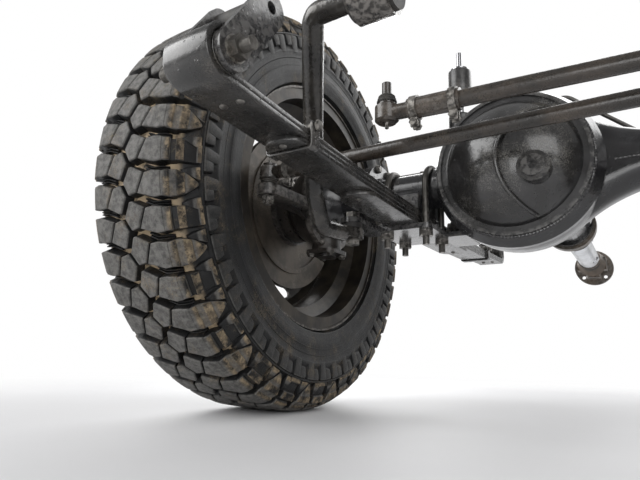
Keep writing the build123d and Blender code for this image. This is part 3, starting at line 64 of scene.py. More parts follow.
def in_metres(place: tuple) -> Vector:
    """A place in millimetres from the middle of the axle, in metres in the row's frame."""
    return Vector(np.array(place) / 1000 + AXLE_CENTRE)


def rotation(angle: float, axis: str) -> Matrix:
    """Rotation by an angle in degrees about one axis."""
    return Matrix.Rotation(radians(angle), 4, axis)


class Side(Enum):
    """Side of the vehicle."""

    RIGHT = "right"
    LEFT = "left"


# Shapes: points in millimetres from the middle of the axle, and the faces that join them


@dataclass
class Shape:
    """Points and quads, each a row of four indices."""

    points: np.ndarray
    faces: np.ndarray

    def turned(self, rows: np.ndarray, shift: tuple) -> "Shape":
        """The shape with each point p at rows @ p + shift."""
        return Shape(self.points @ np.asarray(rows, float).T + np.asarray(shift, float), self.faces)

    def on(self, side: Side) -> "Shape":
        """The shape, modelled on the left, on the given side."""
        return self if side is Side.LEFT else self.turned(np.diag([-1.0, 1.0, 1.0]), (0, 0, 0))

    def doubled(self) -> "Shape":
        """The shape on the left with its mirror image on the right."""
        return joined([self, self.on(Side.RIGHT)])


def joined(shapes: list[Shape]) -> Shape:
    """All shapes of a list as one."""
    starts = np.cumsum([0] + [len(s.points) for s in shapes[:-1]])
    faces = [s.faces + start for s, start in zip(shapes, starts)]
    return Shape(np.vstack([s.points for s in shapes]), np.vstack(faces))


def grid(points: np.ndarray, closed: bool = True) -> Shape:
    """Quads over a rectangular array of points.

    Args:
        points: Array of rows x columns x 3.
        closed: Whether the last column joins the first.

    Returns:
        The surface: quad (i, j) joins points (i, j), (i + 1, j), (i + 1, j + 1) and (i, j + 1).
    """
    rows, columns = points.shape[:2]
    i = np.arange(rows - 1)[:, None]
    j = np.arange(columns if closed else columns - 1)[None, :]
    beside = (j + 1) % columns
    here, below = i * columns, (i + 1) * columns
    quads = np.stack([here + j, below + j, below + beside, here + beside], -1)
    return Shape(points.reshape(-1, 3), quads.reshape(-1, 4))


def basis(direction: tuple) -> np.ndarray:
    """Rotation whose columns are two directions across a given one, and that one."""
    w = np.asarray(direction, float) / np.linalg.norm(direction)
    helper = np.array([1.0, 0, 0]) if abs(w[0]) < 0.9 else np.array([0, 1.0, 0])
    u = np.cross(helper, w)
    u /= np.linalg.norm(u)
    return np.stack([u, np.cross(w, u), w], 1)


def lathe(profile: list, start: tuple, axis: tuple = ACROSS, segments: int = 64) -> Shape:
    """Surface of revolution.

    Args:
        profile: Rows of (distance along the axis, radius).
        start: Point on the axis where the distance is nought.
        axis: Direction of the axis.
        segments: Number of steps round it.

    Returns:
        The surface: at angle a, a row (d, r) lies at start + d * axis + r * (cos a, sin a) across the axis.
    """
    rows = np.asarray(profile, float)
    turn = np.linspace(0, 2 * pi, segments, endpoint=False)
    ring = np.stack([np.cos(turn), np.sin(turn), np.zeros(segments)], -1)
    local = rows[:, 1, None, None] * ring[None] + rows[:, 0, None, None] * np.array([0, 0, 1.0])
    placed = local @ basis(axis).T + np.array(start, float)
    return grid(placed)


def round_bar(start: tuple, end: tuple, radius: float, bevel: float = 0.8, segments: int = 32) -> Shape:
    """Closed round bar from start to end with bevelled rims."""
    axis = np.subtract(end, start)
    length = float(np.linalg.norm(axis))
    half = [(0, 0), (0, radius - bevel), (bevel, radius)]
    return lathe(half + [(length - d, r) for d, r in half[::-1]], start, axis, segments)


def circle(middle: tuple, radii: tuple, plane: tuple = (0, 2), count: int = 64) -> np.ndarray:
    """Points round a middle, with one radius along each of the two axes of a plane."""
    a = np.linspace(0, 2 * pi, count, endpoint=False)
    points = np.tile(np.array(middle, float), (count, 1))
    for axis, radius, share in zip(plane, radii, (np.cos(a), np.sin(a))):
        points[:, axis] += radius * share
    return points


def rectangle(x: float, y: float) -> np.ndarray:
    """Corners of a rectangle with the given half sizes."""
    return np.array([(-x, -y), (x, -y), (x, y), (-x, y)])


def pipe(route: np.ndarray, radius: np.ndarray | float, sides: int = 16) -> Shape:
    """Tube along a route.

    Args:
        route: Points of its centre line.
        radius: One radius, or one for each point.
        sides: Number of sides.

    Returns:
        The tube: a circle round each point, across the mean direction of its two runs, with closed ends.
    """
    runs = np.diff(route, axis=0)
    runs /= np.linalg.norm(runs, axis=1, keepdims=True)
    tangent = np.vstack([runs[:1], runs[:-1] + runs[1:], runs[-1:]])
    tangent /= np.linalg.norm(tangent, axis=1, keepdims=True)
    helper = np.array([0.13, 0.21, 0.97]) if abs(tangent[:, 2]).mean() < 0.8 else np.array([0.97, 0.2, 0.1])
    u = np.cross(helper, tangent)
    u /= np.linalg.norm(u, axis=1, keepdims=True)
    v = np.cross(tangent, u)
    a = np.linspace(0, 2 * pi, sides, endpoint=False)[None, :, None]
    r = np.broadcast_to(np.asarray(radius, float), (len(route),))[:, None, None]
    rings = route[:, None] + r * (np.cos(a) * u[:, None] + np.sin(a) * v[:, None])
    first, last = (np.repeat(end[:, None], sides, 1) for end in (route[:1], route[-1:]))
    return grid(np.concatenate([first, rings, last]))


def prism(outline: np.ndarray, thickness: float, bevel: float) -> Shape:
    """Plate over an outline in X and Y, from z = 0 to its thickness, with bevelled rims.

    Args:
        outline: Rows of (x, y) round the plate.
        thickness: Height in z.
        bevel: Width of the bevel.

    Returns:
        The plate: rings of the outline, pulled towards its middle by the bevel at the top and the bottom.
    """
    flat = np.asarray(outline, float)
    middle = flat.mean(0)
    away = flat - middle
    inner = middle + away * (1 - bevel / np.linalg.norm(away, axis=1, keepdims=True))
    half = [(middle + 0 * flat, 0), (inner, 0), (flat, bevel)]
    rings = half + [(xy, thickness - z) for xy, z in half[::-1]]
    return grid(np.stack([np.column_stack([xy, np.full(len(flat), float(z))]) for xy, z in rings]))


def hexagon(across: float) -> np.ndarray:
    """Corners of a hexagon of the given size across its flats."""
    a = (np.arange(6) + 0.5) * pi / 3
    return 0.5 * across / cos(pi / 6) * np.stack([np.cos(a), np.sin(a)], -1)


def nut(place: tuple, axis: tuple, across: float, height: float, stud: float = 0, washer: float = 0) -> Shape:
    """Hexagonal nut or head on a face, with a washer below it and a bolt's end above it.

    Args:
        place: Point on the face.
        axis: Direction away from the face.
        across: Size across the flats.
        height: Height of the nut.
        stud: Length of the bolt's end above the nut.
        washer: Radius of the washer, or nought for none.

    Returns:
        The nut: a bevelled hexagon, with ridges of revolution for the thread.
    """
    parts = [prism(hexagon(across), height, 0.08 * across)]
    if stud > 0:
        r = 0.27 * across
        z = np.linspace(0, stud, max(4, int(stud / 0.8)))
        ridges = [(height + d, r - 0.25 * (k % 2)) for k, d in enumerate(z)]
        parts.append(lathe([(height - 1, 0), *ridges, (height + stud + 0.4, 0)], (0, 0, 0), UP, 20))
    if washer > 0:
        rows = [(0, 0), (0, washer), (1.6, washer), (2.0, washer - 0.5), (2.0, 0)]
        parts.append(lathe(rows, (0, 0, 0), UP, 32))
    return joined(parts).turned(basis(axis), place)


def bead(route: np.ndarray, radius: float, closed: bool, step: float = 3.2) -> Shape:
    """Weld bead along a route.

    Args:
        route: Points along the joint.
        radius: Mean radius of the bead.
        closed: Whether the route comes back to its start.
        step: Length of one ripple.

    Returns:
        The bead: a tube whose radius swells and falls with the sine of the length along the route.
    """
    line = np.vstack([route, route[:1]]) if closed else route
    lengths = np.concatenate([[0], np.cumsum(np.linalg.norm(np.diff(line, axis=0), axis=1))])
    count = max(8, int(lengths[-1] / step * 4))
    s = np.linspace(0, lengths[-1], count)
    fine = np.stack([np.interp(s, lengths, line[:, k]) for k in range(3)], -1)
    return pipe(fine, radius * (1 + 0.16 * np.sin(2 * pi * s / step) + 0.08 * np.sin(0.31 * s)), 8)


# Finishes


class Nodes:
    """Small helper that adds shader nodes to a material or to a world."""

    def __init__(self, owner: bpy.types.ID) -> None:
        """Starts with the owner's first nodes.

        Args:
            owner: Material or world.
        """
        owner.use_nodes = True
        self.owner, self.tree = owner, owner.node_tree
        self.where = self.add("ShaderNodeTexCoord").outputs

    def add(self, kind: str, inputs: dict | None = None, **settings: object) -> bpy.types.Node:
        """New node of a kind with its settings, its inputs linked or set."""
        node = self.tree.nodes.new(kind)
        for key, value in settings.items():
            setattr(node, key, value)
        self.wire(node, inputs or {})
        return node

    def wire(self, node: bpy.types.Node, inputs: dict) -> None:
        """Links or sets inputs of a node, each by its name or number."""
        for key, value in inputs.items():
            socket = node.inputs[key]
            if isinstance(value, Socket):
                self.tree.links.new(value, socket)
            elif isinstance(value, tuple) and socket.type == "RGBA":
                socket.default_value = (*value, 1.0)
            else:
                socket.default_value = value

    def noise(self, scale: float, detail: float = 5.0, rough: float = 0.55) -> Socket:
        """Noise from nought to one; the scale counts features in a metre."""
        inputs = {"Vector": self.where["Object"], "Scale": scale, "Detail": detail, "Roughness": rough}
        return self.add("ShaderNodeTexNoise", inputs).outputs["Fac"]

    def cells(self, scale: float) -> Socket:
        """Distance to the nearest of scattered points; the scale counts them in a metre."""
        inputs = {"Vector": self.where["Object"], "Scale": scale}
        return self.add("ShaderNodeTexVoronoi", inputs).outputs["Distance"]

    def span(self, value: object, low: float, high: float) -> Socket:
        """A value from nought to one, stretched to run from low to high."""
        inputs = {"Value": value, "To Min": low, "To Max": high}
        return self.add("ShaderNodeMapRange", inputs).outputs["Result"]

    def band(self, value: object, low: float, high: float) -> Socket:
        """Nought below low, one above high and smooth between; low may be the larger."""
        inputs = {"Value": value, "From Min": min(low, high), "From Max": max(low, high)}
        inputs |= {"To Min": float(low > high), "To Max": float(low <= high)}
        return self.add("ShaderNodeMapRange", inputs, interpolation_type="SMOOTHSTEP").outputs["Result"]

    def times(self, a: object, b: object) -> Socket:
        """Product of two values."""
        return self.add("ShaderNodeMath", {0: a, 1: b}, operation="MULTIPLY", use_clamp=True).outputs[0]

    def plus(self, a: object, b: object) -> Socket:
        """Sum of two values, one at most."""
        return self.add("ShaderNodeMath", {0: a, 1: b}, operation="ADD", use_clamp=True).outputs[0]

    def mix(self, share: object, a: object, b: object) -> Socket:
        """Colour a with a share of colour b over it."""
        return self.add("ShaderNodeMix", {0: share, 6: a, 7: b}, data_type="RGBA").outputs[2]

    def blend(self, share: object, a: object, b: object) -> Socket:
        """Value a with a share of value b over it."""
        return self.add("ShaderNodeMix", {0: share, 2: a, 3: b}, data_type="FLOAT").outputs[0]

    def bump(self, height: object, depth: float, below: Socket | None = None) -> Socket:
        """Bump from a height of nought to one, depth metres high, over another bump."""
        over = {"Normal": below} if below else {}
        return self.add("ShaderNodeBump", {"Height": height, "Distance": depth, **over}).outputs["Normal"]

    def finish(self, colour: object, rough: object, normal: Socket, **more: object) -> bpy.types.Material:
        """Wires the shader, with more inputs by name, and gives the material."""
        inputs = {"Base Color": colour, "Roughness": rough, "Normal": normal, **more}
        self.wire(self.tree.nodes["Principled BSDF"], inputs)
        return self.owner


@dataclass(frozen=True)
class WornMetal:
    """Painted, cast or bare metal with dust, rust and a fine grain."""

    name: str
    base: Rgb
    second: Rgb
    dust: Rgb = (0.30, 0.26, 0.21)
    dusty: float = 0.35
    dust_scale: float = 14.0
    rust: Rgb = (0.17, 0.075, 0.035)
    rusty: float = 0.0
    metallic: float = 0.0
    gloss: tuple[float, float] = (0.25, 0.5)
    grain_scale: float = 900.0
    grain: float = 0.0001
    lumps_scale: float = 90.0
    lumps: float = 0.0003
    drops: float = 0.0
    # Colour of the paler edges: rubbed metal, and on the springs and rims also a painted highlight
    worn: Rgb = (0.28, 0.26, 0.24)
    edge_wear_and_glint: float = 0.35
    coat: float = 0.0
    specular: float = 0.5

    def material(self) -> bpy.types.Material:
        """Builds the material: tone, dust patches, rust, rubbed edges that are partly a painted highlight, drops
        and a two-scale bump.
        """
        n = Nodes(bpy.data.materials.new(self.name))
        tone = n.mix(n.band(n.noise(26, 4), 0.38, 0.66), self.base, self.second)
        # Paler edges: rubbed paint, and on the springs and rims also a painted highlight along the edges
        edges = n.band(n.add("ShaderNodeNewGeometry").outputs["Pointiness"], 0.53, 0.62)
        rubbed = n.times(n.times(edges, n.band(n.noise(160, 3), 0.38, 0.6)), self.edge_wear_and_glint)
        colour = n.mix(rubbed, tone, self.worn)
        rust = n.band(n.noise(60, 9, 0.7), 0.72 - 0.3 * self.rusty, 0.80 - 0.25 * self.rusty)
        rust = n.times(rust, min(1.0, 2 * self.rusty))
        colour = n.mix(rust, colour, n.mix(n.noise(300, 4), self.rust, tuple(0.45 * c for c in self.rust)))
        patch = n.band(n.noise(self.dust_scale, 10, 0.68), 0.62 - 0.28 * self.dusty, 0.78 - 0.1 * self.dusty)
        dust = n.times(patch, n.band(n.noise(700, 3, 0.6), 0.40, 0.66))
        dust = n.times(n.plus(dust, 0.10 * self.dusty), min(1.0, 1.5 * self.dusty))
        colour = n.mix(dust, colour, self.dust)
        rough = n.span(n.noise(120, 4), *self.gloss)
        rough = n.blend(n.plus(dust, rust), rough, 0.9)
        fine = n.bump(n.noise(self.grain_scale, 2), self.grain)
        grain = n.bump(n.noise(self.lumps_scale, 3), self.lumps, fine)
        grain = n.bump(n.plus(rust, dust), 0.00015, grain)
        if self.drops:
            wet = n.band(n.cells(170), 0.30, 0.18)
            some = n.band(n.noise(22, 2), 0.5, 0.6)
            shape = n.times(wet, some)
            rough = n.blend(n.times(shape, self.drops), rough, 0.06)
            grain = n.bump(shape, 0.0006 * self.drops, grain)
        gloss = {"Coat Weight": self.coat, "Coat Roughness": 0.12, "Specular IOR Level": self.specular}
        bare = n.blend(n.plus(dust, rust), self.metallic, 0.0)
        return n.finish(colour, rough, grain, Metallic=bare, **gloss)


@dataclass(frozen=True)
class Tyre:
    """Tyre rubber: black grooves, tan dust and painted light on the shoulder's steps, rubbed grey tread."""

    name: str = "tyre_rubber"
    black: Rgb = (0.006, 0.006, 0.006)
    side: Rgb = (0.014, 0.0142, 0.015)
    tan: Rgb = (0.29, 0.225, 0.145)
    brown: Rgb = (0.095, 0.075, 0.052)
    grey: Rgb = (0.135, 0.131, 0.124)

    def material(self) -> bpy.types.Material:
        """Builds the material.

        The attribute lug is minus one on the crown's groove floor, nought in other grooves and on the
        sidewall, one on the tread and two on the shoulder's steps, whose tan is dust and painted light.
        """
        n = Nodes(bpy.data.materials.new(self.name))
        lug = n.add("ShaderNodeAttribute", attribute_name="lug").outputs["Fac"]
        rubber = n.mix(n.band(n.noise(34, 8, 0.65), 0.36, 0.68), self.black, self.side)
        worn = n.mix(n.band(n.noise(110, 9, 0.75), 0.36, 0.66), self.grey, tuple(0.36 * c for c in self.grey))
        top = n.band(lug, 0.5, 0.94)
        colour = n.mix(top, rubber, worn)
        # Tan on the shoulder's raised steps: dust, and painted light on the faces that catch it
        steps = n.band(lug, 1.15, 1.85)
        step_dust_and_light = n.mix(n.band(n.noise(85, 9, 0.75), 0.42, 0.66), self.brown, self.tan)
        step_dust_and_light = n.mix(n.band(n.noise(44, 8, 0.7), 0.46, 0.60), step_dust_and_light, rubber)
        colour = n.mix(steps, colour, step_dust_and_light)
        # Mud on the crown's groove floor, half as pale again as the dust: mud, and painted light against the shade
        # of the narrow grooves
        groove_mud_and_light = n.times(n.band(lug, -0.3, -0.9), n.band(n.noise(60, 6, 0.6), 0.30, 0.52))
        colour = n.mix(groove_mud_and_light, colour, tuple(1.45 * c for c in self.tan))
        dust = n.times(n.band(n.noise(26, 10, 0.72), 0.50, 0.72), n.band(n.noise(520, 4, 0.65), 0.38, 0.66))
        dust = n.times(dust, 0.6)
        colour = n.mix(dust, colour, self.tan)
        dull = n.plus(dust, n.times(top, 0.5))
        rough = n.blend(dull, n.span(n.noise(70, 5), 0.36, 0.58), 0.9)
        grain = n.bump(n.noise(260, 7, 0.7), 0.0007, n.bump(n.noise(1500, 2), 0.0002))
        grain = n.bump(dust, 0.0002, grain)
        return n.finish(colour, rough, grain, **{"Specular IOR Level": 0.3})


@dataclass(frozen=True)
class Rubber:
    """Plain rubber of bushes and boots, with patches of dust."""

    name: str
    base: Rgb = (0.022, 0.021, 0.020)
    second: Rgb = (0.05, 0.047, 0.043)
    dust: Rgb = (0.22, 0.19, 0.15)
    dusty: float = 0.4

    def material(self) -> bpy.types.Material:
        """Builds the material."""
        n = Nodes(bpy.data.materials.new(self.name))
        tone = n.mix(n.band(n.noise(60, 5), 0.4, 0.65), self.base, self.second)
        dust = n.times(n.band(n.noise(45, 9, 0.7), 0.42, 0.7), n.band(n.noise(800, 3), 0.35, 0.65))
        dust = n.times(dust, self.dusty)
        grain = n.bump(n.noise(1100, 3), 0.00015, n.bump(n.noise(140, 3), 0.0003))
        rough = n.blend(dust, n.span(n.noise(90, 3), 0.5, 0.68), 0.95)
        return n.finish(n.mix(dust, tone, self.dust), rough, grain)


FINISHES = {
    "axle_paint": WornMetal(
        "gloss_black_paint", (0.009, 0.009, 0.010), (0.022, 0.022, 0.024), dusty=0.2, gloss=(0.10, 0.28),
        drops=1.0, coat=0.4, lumps=0.0004, worn=(0.14, 0.135, 0.13), edge_wear_and_glint=0.5,
    ),
    "dome_paint": WornMetal(
        "dome_black_paint", (0.010, 0.010, 0.011), (0.024, 0.024, 0.026), dust=(0.23, 0.215, 0.185),
        dusty=0.50, dust_scale=9, gloss=(0.08, 0.24), drops=1.0, coat=0.5, lumps=0.0004,
        worn=(0.14, 0.135, 0.13), edge_wear_and_glint=0.6,
    ),
    # Bright grey edges on the leaves: wear, and a painted highlight along the edges
    "spring_paint": WornMetal(
        "spring_leaf_paint", (0.010, 0.010, 0.010), (0.030, 0.028, 0.026), dusty=0.25, rusty=0.10,
        gloss=(0.14, 0.36), drops=1.0, coat=0.3, lumps=0.0005, worn=(0.42, 0.40, 0.37), edge_wear_and_glint=0.9,
        lumps_scale=45,
    ),
    "fastener_steel": WornMetal(
        "dirty_zinc", (0.10, 0.095, 0.088), (0.045, 0.042, 0.038), dusty=0.35, rusty=0.2, metallic=0.7,
        gloss=(0.25, 0.5), worn=(0.40, 0.38, 0.35), edge_wear_and_glint=0.8,
    ),
    "bar_steel": WornMetal(
        "sway_bar_paint", (0.014, 0.0135, 0.013), (0.050, 0.046, 0.041), dusty=0.22, rusty=0.15,
        gloss=(0.10, 0.30), drops=1.0, metallic=0.3, lumps=0.0012, lumps_scale=170, coat=0.4, edge_wear_and_glint=0.6,
    ),
    "rod_steel": WornMetal(
        "grimy_rod_paint", (0.013, 0.012, 0.011), (0.038, 0.030, 0.024), dust=(0.17, 0.13, 0.09), dusty=0.5,
        rusty=0.22, gloss=(0.14, 0.36), lumps=0.0007, lumps_scale=120, coat=0.3,
    ),
    "knuckle_iron": WornMetal(
        "oily_casting", (0.011, 0.010, 0.010), (0.030, 0.026, 0.023), dusty=0.25, rusty=0.1,
        gloss=(0.18, 0.42), grain=0.0004, grain_scale=420,
    ),
    "brake_iron": WornMetal(
        "rusted_iron", (0.055, 0.049, 0.043), (0.035, 0.029, 0.024), dusty=0.3, rusty=0.35, metallic=0.5,
        gloss=(0.28, 0.5),
    ),
    "shield_steel": WornMetal(
        "dusty_sheet", (0.040, 0.034, 0.028), (0.085, 0.070, 0.055), dusty=0.42, metallic=0.3,
        gloss=(0.28, 0.5), grain=0.00005,
    ),
    "shaft_silver": WornMetal(
        "bright_tube", (0.58, 0.60, 0.63), (0.42, 0.43, 0.45), dusty=0.15, metallic=1.0, gloss=(0.14, 0.30),
        grain=0.00003, lumps=0.00005,
    ),
    "shaft_iron": WornMetal(
        "forged_yoke", (0.075, 0.066, 0.057), (0.12, 0.09, 0.066), dusty=0.35, rusty=0.3, metallic=0.4,
        gloss=(0.3, 0.55), grain=0.0003, grain_scale=500,
    ),
    # Paler edges on the rims: wear, and a painted highlight on the lips
    "rim_paint": WornMetal(
        "rim_metal", (0.016, 0.014, 0.012), (0.045, 0.037, 0.028), dust=(0.17, 0.14, 0.105), dusty=0.2,
        metallic=0.15, gloss=(0.26, 0.46), grain=0.00004, worn=(0.30, 0.28, 0.26), edge_wear_and_glint=0.6, specular=0.25,
    ),
    "hub_steel": WornMetal(
        "hub_metal", (0.22, 0.215, 0.20), (0.12, 0.115, 0.11), dusty=0.4, metallic=0.85, gloss=(0.22, 0.45),
    ),
    "damper_paint": WornMetal(
        "damper_paint", (0.014, 0.014, 0.015), (0.030, 0.030, 0.031), dusty=0.35, gloss=(0.2, 0.4), coat=0.2,
    ),
    "damper_rod": WornMetal(
        "polished_rod", (0.34, 0.34, 0.35), (0.28, 0.28, 0.29), dusty=0.08, metallic=1.0, gloss=(0.14, 0.24),
        grain=0.00001, lumps=0.00002,
    ),
    "pipe_steel": WornMetal(
        "pipe_steel", (0.12, 0.115, 0.108), (0.07, 0.066, 0.062), dusty=0.3, metallic=0.7, gloss=(0.25, 0.45),
    ),
    "bush_rubber": Rubber("bush_rubber"),
    "tyre_rubber": Tyre(),
}


class Shop:
    """Makes objects out of shapes and gives each its material and body."""

    def __init__(self) -> None:
        """Builds every finish once."""
        self.materials = {key: finish.material() for key, finish in FINISHES.items()}

    def make(
        self,
        name: str,
        shape: Shape,
        body: str,
        slot: str,
        finish: str = "",
        replaces: tuple[str, ...] = (),
        sharp: float = 34.0,
        lug: np.ndarray | None = None,
    ) -> None:
        """Makes one piece.

        Args:
            name: Name of the piece.
            shape: Its shape, in millimetres from the middle of the axle.
            body: Body that it rides on.
            slot: Material slot of the record.
            finish: Key of its finish, or empty for the slot's own.
            replaces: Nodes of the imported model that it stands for.
            sharp: Angle in degrees above which an edge is sharp.
            lug: Value of the attribute lug at each point.
        """
        mesh = bpy.data.meshes.new(name)
        mesh.vertices.add(len(shape.points))
        mesh.vertices.foreach_set("co", (shape.points / 1000 + AXLE_CENTRE).astype(np.float32).ravel())
        mesh.loops.add(shape.faces.size)
        mesh.loops.foreach_set("vertex_index", shape.faces.ravel().astype(np.int32))
        mesh.polygons.add(len(shape.faces))
        mesh.polygons.foreach_set("loop_start", np.arange(0, shape.faces.size, 4, dtype=np.int32))
        if lug is not None:
            layer = mesh.attributes.new("lug", "FLOAT", "POINT")
            layer.data.foreach_set("value", lug.astype(np.float32))
        mesh.update(calc_edges=True)
        edit = bmesh.new()
        edit.from_mesh(mesh)
        bmesh.ops.remove_doubles(edit, verts=edit.verts, dist=2e-6)
        bmesh.ops.dissolve_degenerate(edit, dist=1e-6, edges=edit.edges)
        bmesh.ops.recalc_face_normals(edit, faces=edit.faces)
        edit.to_mesh(mesh)
        edit.free()
        mesh.shade_smooth()
        mesh.set_sharp_from_angle(angle=radians(sharp))
        piece = bpy.data.objects.new(name, mesh)
        bpy.context.scene.collection.objects.link(piece)
        mesh.materials.append(self.materials[finish or slot])
        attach(piece, body)
        if replaces:
            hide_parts(*replaces)
        log.info("%s: %d faces on %s", name, len(mesh.polygons), body)

    def pair(self, name: str, shape: Shape, body: str, slot: str, replaces: str = "", **more: object) -> None:
        """Makes a piece, modelled on the left, on each side; a star in a name stands for the side."""
        for side in Side:
            here, rides, node = (word.replace("*", side.value) for word in (name, body, replaces))
            self.make(here, shape.on(side), rides, slot, replaces=(node,) if node else (), **more)

    def dress(self, node: str, finish: str, sharp: float = 34.0) -> None:
        """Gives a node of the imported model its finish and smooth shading."""
        mesh = frame["nodes"][node].data
        mesh.materials.clear()
        mesh.materials.append(self.materials[finish])
        mesh.shade_smooth()
        mesh.set_sharp_from_angle(angle=radians(sharp))


# Sub-assemblies


@dataclass(frozen=True)
class Block:
    """Tread block, as a convex outline on the tread's outer line.

    Attributes:
        outline: Rows of (place along the outer line, place round the tyre), in millimetres.
        height: Depth from the block's top to the groove.
    """

    outline: tuple
    height: float


@dataclass(frozen=True)
class Strip:
    """Lug or rib that runs along the outer line in steps.

    Attributes:
        spots: Rows of (place along the outer line, low edge, high edge, depth of the top below that line),
            in millimetres.
        step: Number of pitches from one to the next.
        first: Pitch of the first.
    """

    spots: tuple
    step: int = 1
    first: float = 0.0


@dataclass
class TyrePiece:
    """Mud tyre: a casing of revolution, rows of blocks, and lugs that run down the shoulder."""

    half_track: float = 610.0
    pitches: int = 48
    stagger: float = 0.555
    outer: tuple = (
        (0, 358), (30, 358), (58, 357), (72, 353), (84, 345), (92, 330), (96.5, 312), (97, 296), (96, 280),
        (95, 264), (94, 250),
    )
    casing: tuple = (
        (77.4, 204), (77.4, 221), (80.5, 226), (86, 227.5), (89.5, 226), (91, 229), (91.5, 236), (93.2, 239),
        (93.2, 241), (94.0, 243), (95.2, 252), (94.9, 253), (95.2, 254), (94.2, 256), (94.4, 266),
        (93.8, 266.6), (94.5, 267.4), (95, 276), (95.6, 277), (95.8, 280), (94.4, 283), (92.6, 288),
        (92.2, 305), (95.4, 306.6), (95.2, 309), (89.5, 311), (83.5, 321), (76, 331), (62, 338.5),
        (40, 342.5), (0, 343.5),
    )
    blocks: tuple = (
        Block(((-2, -1), (9, 19.5), (13, 19.8), (36, 9.5), (23, -16), (9, -18.5)), 14),
        Block(((39.2, 8.4), (52, 9.3), (67, 7), (67.5, -25.5), (56, -26.5), (26.4, -17.6)), 14),
    )
    root: tuple = ((60, 14.5), (80, 15.5), (92, 14.5), (104, 12), (115, 7), (122, 3.4), (150, 3.8))
    strips: tuple = (
        Strip((
            (67.5, -25, 6.2, 0.4), (77, -24.5, 5.8, 1.6), (79, -24.3, 5.7, 7.6), (86, -24, 5.5, 7.4),
            (88, -24, 5.4, 1.4), (98, -23.4, 5, 2.0), (100, -23.2, 5, 7.4), (117, -22, 4, 5.2),
            (119, -21.6, 3.8, 0.9), (124, -21, 3.4, 1.2), (127, -20, 2.6, 3.4),
        ), 2, 0),
        Strip((
            (67.5, -25.6, 6.8, 0.3), (77, -27, 8.2, 1.0), (79, -27.2, 8.4, 3.4), (88, -26.6, 7.8, 3.4),
            (90, -26.2, 7.4, 1.0), (99, -23.8, 5, 1.6), (101, -23, 4.4, 3.6), (108, -19.6, 1, 3.0),
            (115, -15, -3.6, 2.2), (121, -10.6, -8, 3.4),
        ), 2, 1),
        # Sipe ribs in the shoulder's grooves
        Strip((
            (31, -29.8, -27.8, 10.5), (47, -35.6, -33.8, 9), (68, -35.7, -33.9, 9), (76, -35.3, -33.9, 12),
        )),
        Strip((
            (31, -25.4, -23.4, 10.5), (47, -31.4, -29.8, 9), (68, -32, -30.4, 9), (76, -32.2, -30.8, 12),
        )),
        # Ribs between the shoulder's lugs
        Strip((
            (98, -37.5, -33.5, 8), (106, -40, -31, 5.4), (118, -43, -28, 3), (122, -44, -27, 2),
            (124, -44, -27, 2.6),
        ), 2, 0),
        Strip((
            (98, -37.5, -33.5, 8), (106, -39.5, -30.5, 5.4), (118, -42, -27, 3), (122, -43, -26, 2),
            (124, -43, -26, 2.6),
        ), 2, 1),
        # Lower tier on the sidewall
        Strip(((129.5, -14, 3, 0.4), (132, -15, 4, -0.3), (158, -13, 2, 0.2), (162, -11, 0, 3.6))),
        Strip(((129.5, 10, 27, 0.4), (132, 9, 26, -0.3), (146, 11, 24, 0.2), (150, 13, 22, 3.6))),
    )

    def casing_shape(self) -> Shape:
        """Casing: the half section and its mirror image, turned round the wheel's axis."""
        half = list(self.casing)
        rows = half + [(-x, r) for x, r in reversed(half[:-1])]
        rows.append(rows[0])
        return lathe(rows, (self.half_track, 0, 0), segments=192)

    def place(self, q: np.ndarray, depth: np.ndarray) -> tuple[np.ndarray, np.ndarray]:
        """Half width and radius of points a depth below the tread's outer line, at a length q along it."""
        line = np.array(self.outer, float)
        along = np.concatenate([[0], np.cumsum(np.hypot(*np.diff(line, axis=0).T))])
        ahead, behind = np.abs(q) + 1, np.maximum(np.abs(q) - 1, 0)
        dx, dr = (np.interp(ahead, along, line[:, k]) - np.interp(behind, along, line[:, k]) for k in (0, 1))
        size = np.hypot(dx, dr)
        x = np.interp(np.abs(q), along, line[:, 0]) + dr / size * depth
        r = np.interp(np.abs(q), along, line[:, 1]) - dx / size * depth
        return np.where(q < 0, -1, 1) * x, r

    def repeat(
        self, x: np.ndarray, r: np.ndarray, t: np.ndarray, side: int, turns: np.ndarray, closed: bool
    ) -> Shape:
        """Copies a patch of points round the tyre; the outer half is the inner one turned half round."""
        phase = (turns + (self.stagger if side > 0 else 0)) * 2 * pi / self.pitches
        theta = side * (t / r)[None] - phase[:, None, None]
        x = np.broadcast_to(side * x + self.half_track, theta.shape)
        points = np.stack([x, r * np.cos(theta), r * np.sin(theta)], -1)
        return joined([grid(patch, closed) for patch in points])

    def block_row(self, block: Block, side: int) -> tuple[Shape, np.ndarray]:
        """One row of tread blocks.

        Args:
            block: Outline and height.
            side: Sign of X from the tyre's middle.

        Returns:
            The blocks and the attribute lug. Each has a flat top, a bevelled rim and walls that lean out to
            the groove: rings of the outline, each moved from its middle by a width and down by a depth.
        """
        corners = np.array(block.outline, float)
        ends = np.roll(corners, -1, 0)
        counts = np.maximum(1, np.round(np.hypot(*(ends - corners).T) / 8)).astype(int)
        runs = [a + (b - a) * np.arange(n)[:, None] / n for a, b, n in zip(corners, ends, counts)]
        flat = np.concatenate(runs)
        middle = flat.mean(0)
        away = flat - middle
        far = np.linalg.norm(away, axis=1, keepdims=True)
        # Width, depth and attribute of each ring
        widths, depths, shares = zip(
            (-far, 0.0, 1.0), (-0.5 * far, 0.0, 1.0), (-1.1, 0.1, 1.0), (0.0, 1.2, 0.9), (0.4, 3.0, 0.5),
            (0.9, 0.5 * block.height, 0.2), (2.2, block.height + 2, 0.0),
        )
        rows = np.stack([flat + away / far * width for width in widths])
        depth = np.array(depths)[:, None] + 0 * rows[..., 0]
        turns = np.arange(self.pitches)
        shape = self.repeat(*self.place(rows[..., 0], depth), rows[..., 1], side, turns, True)
        return shape, np.tile(np.repeat(shares, len(flat)), len(turns))

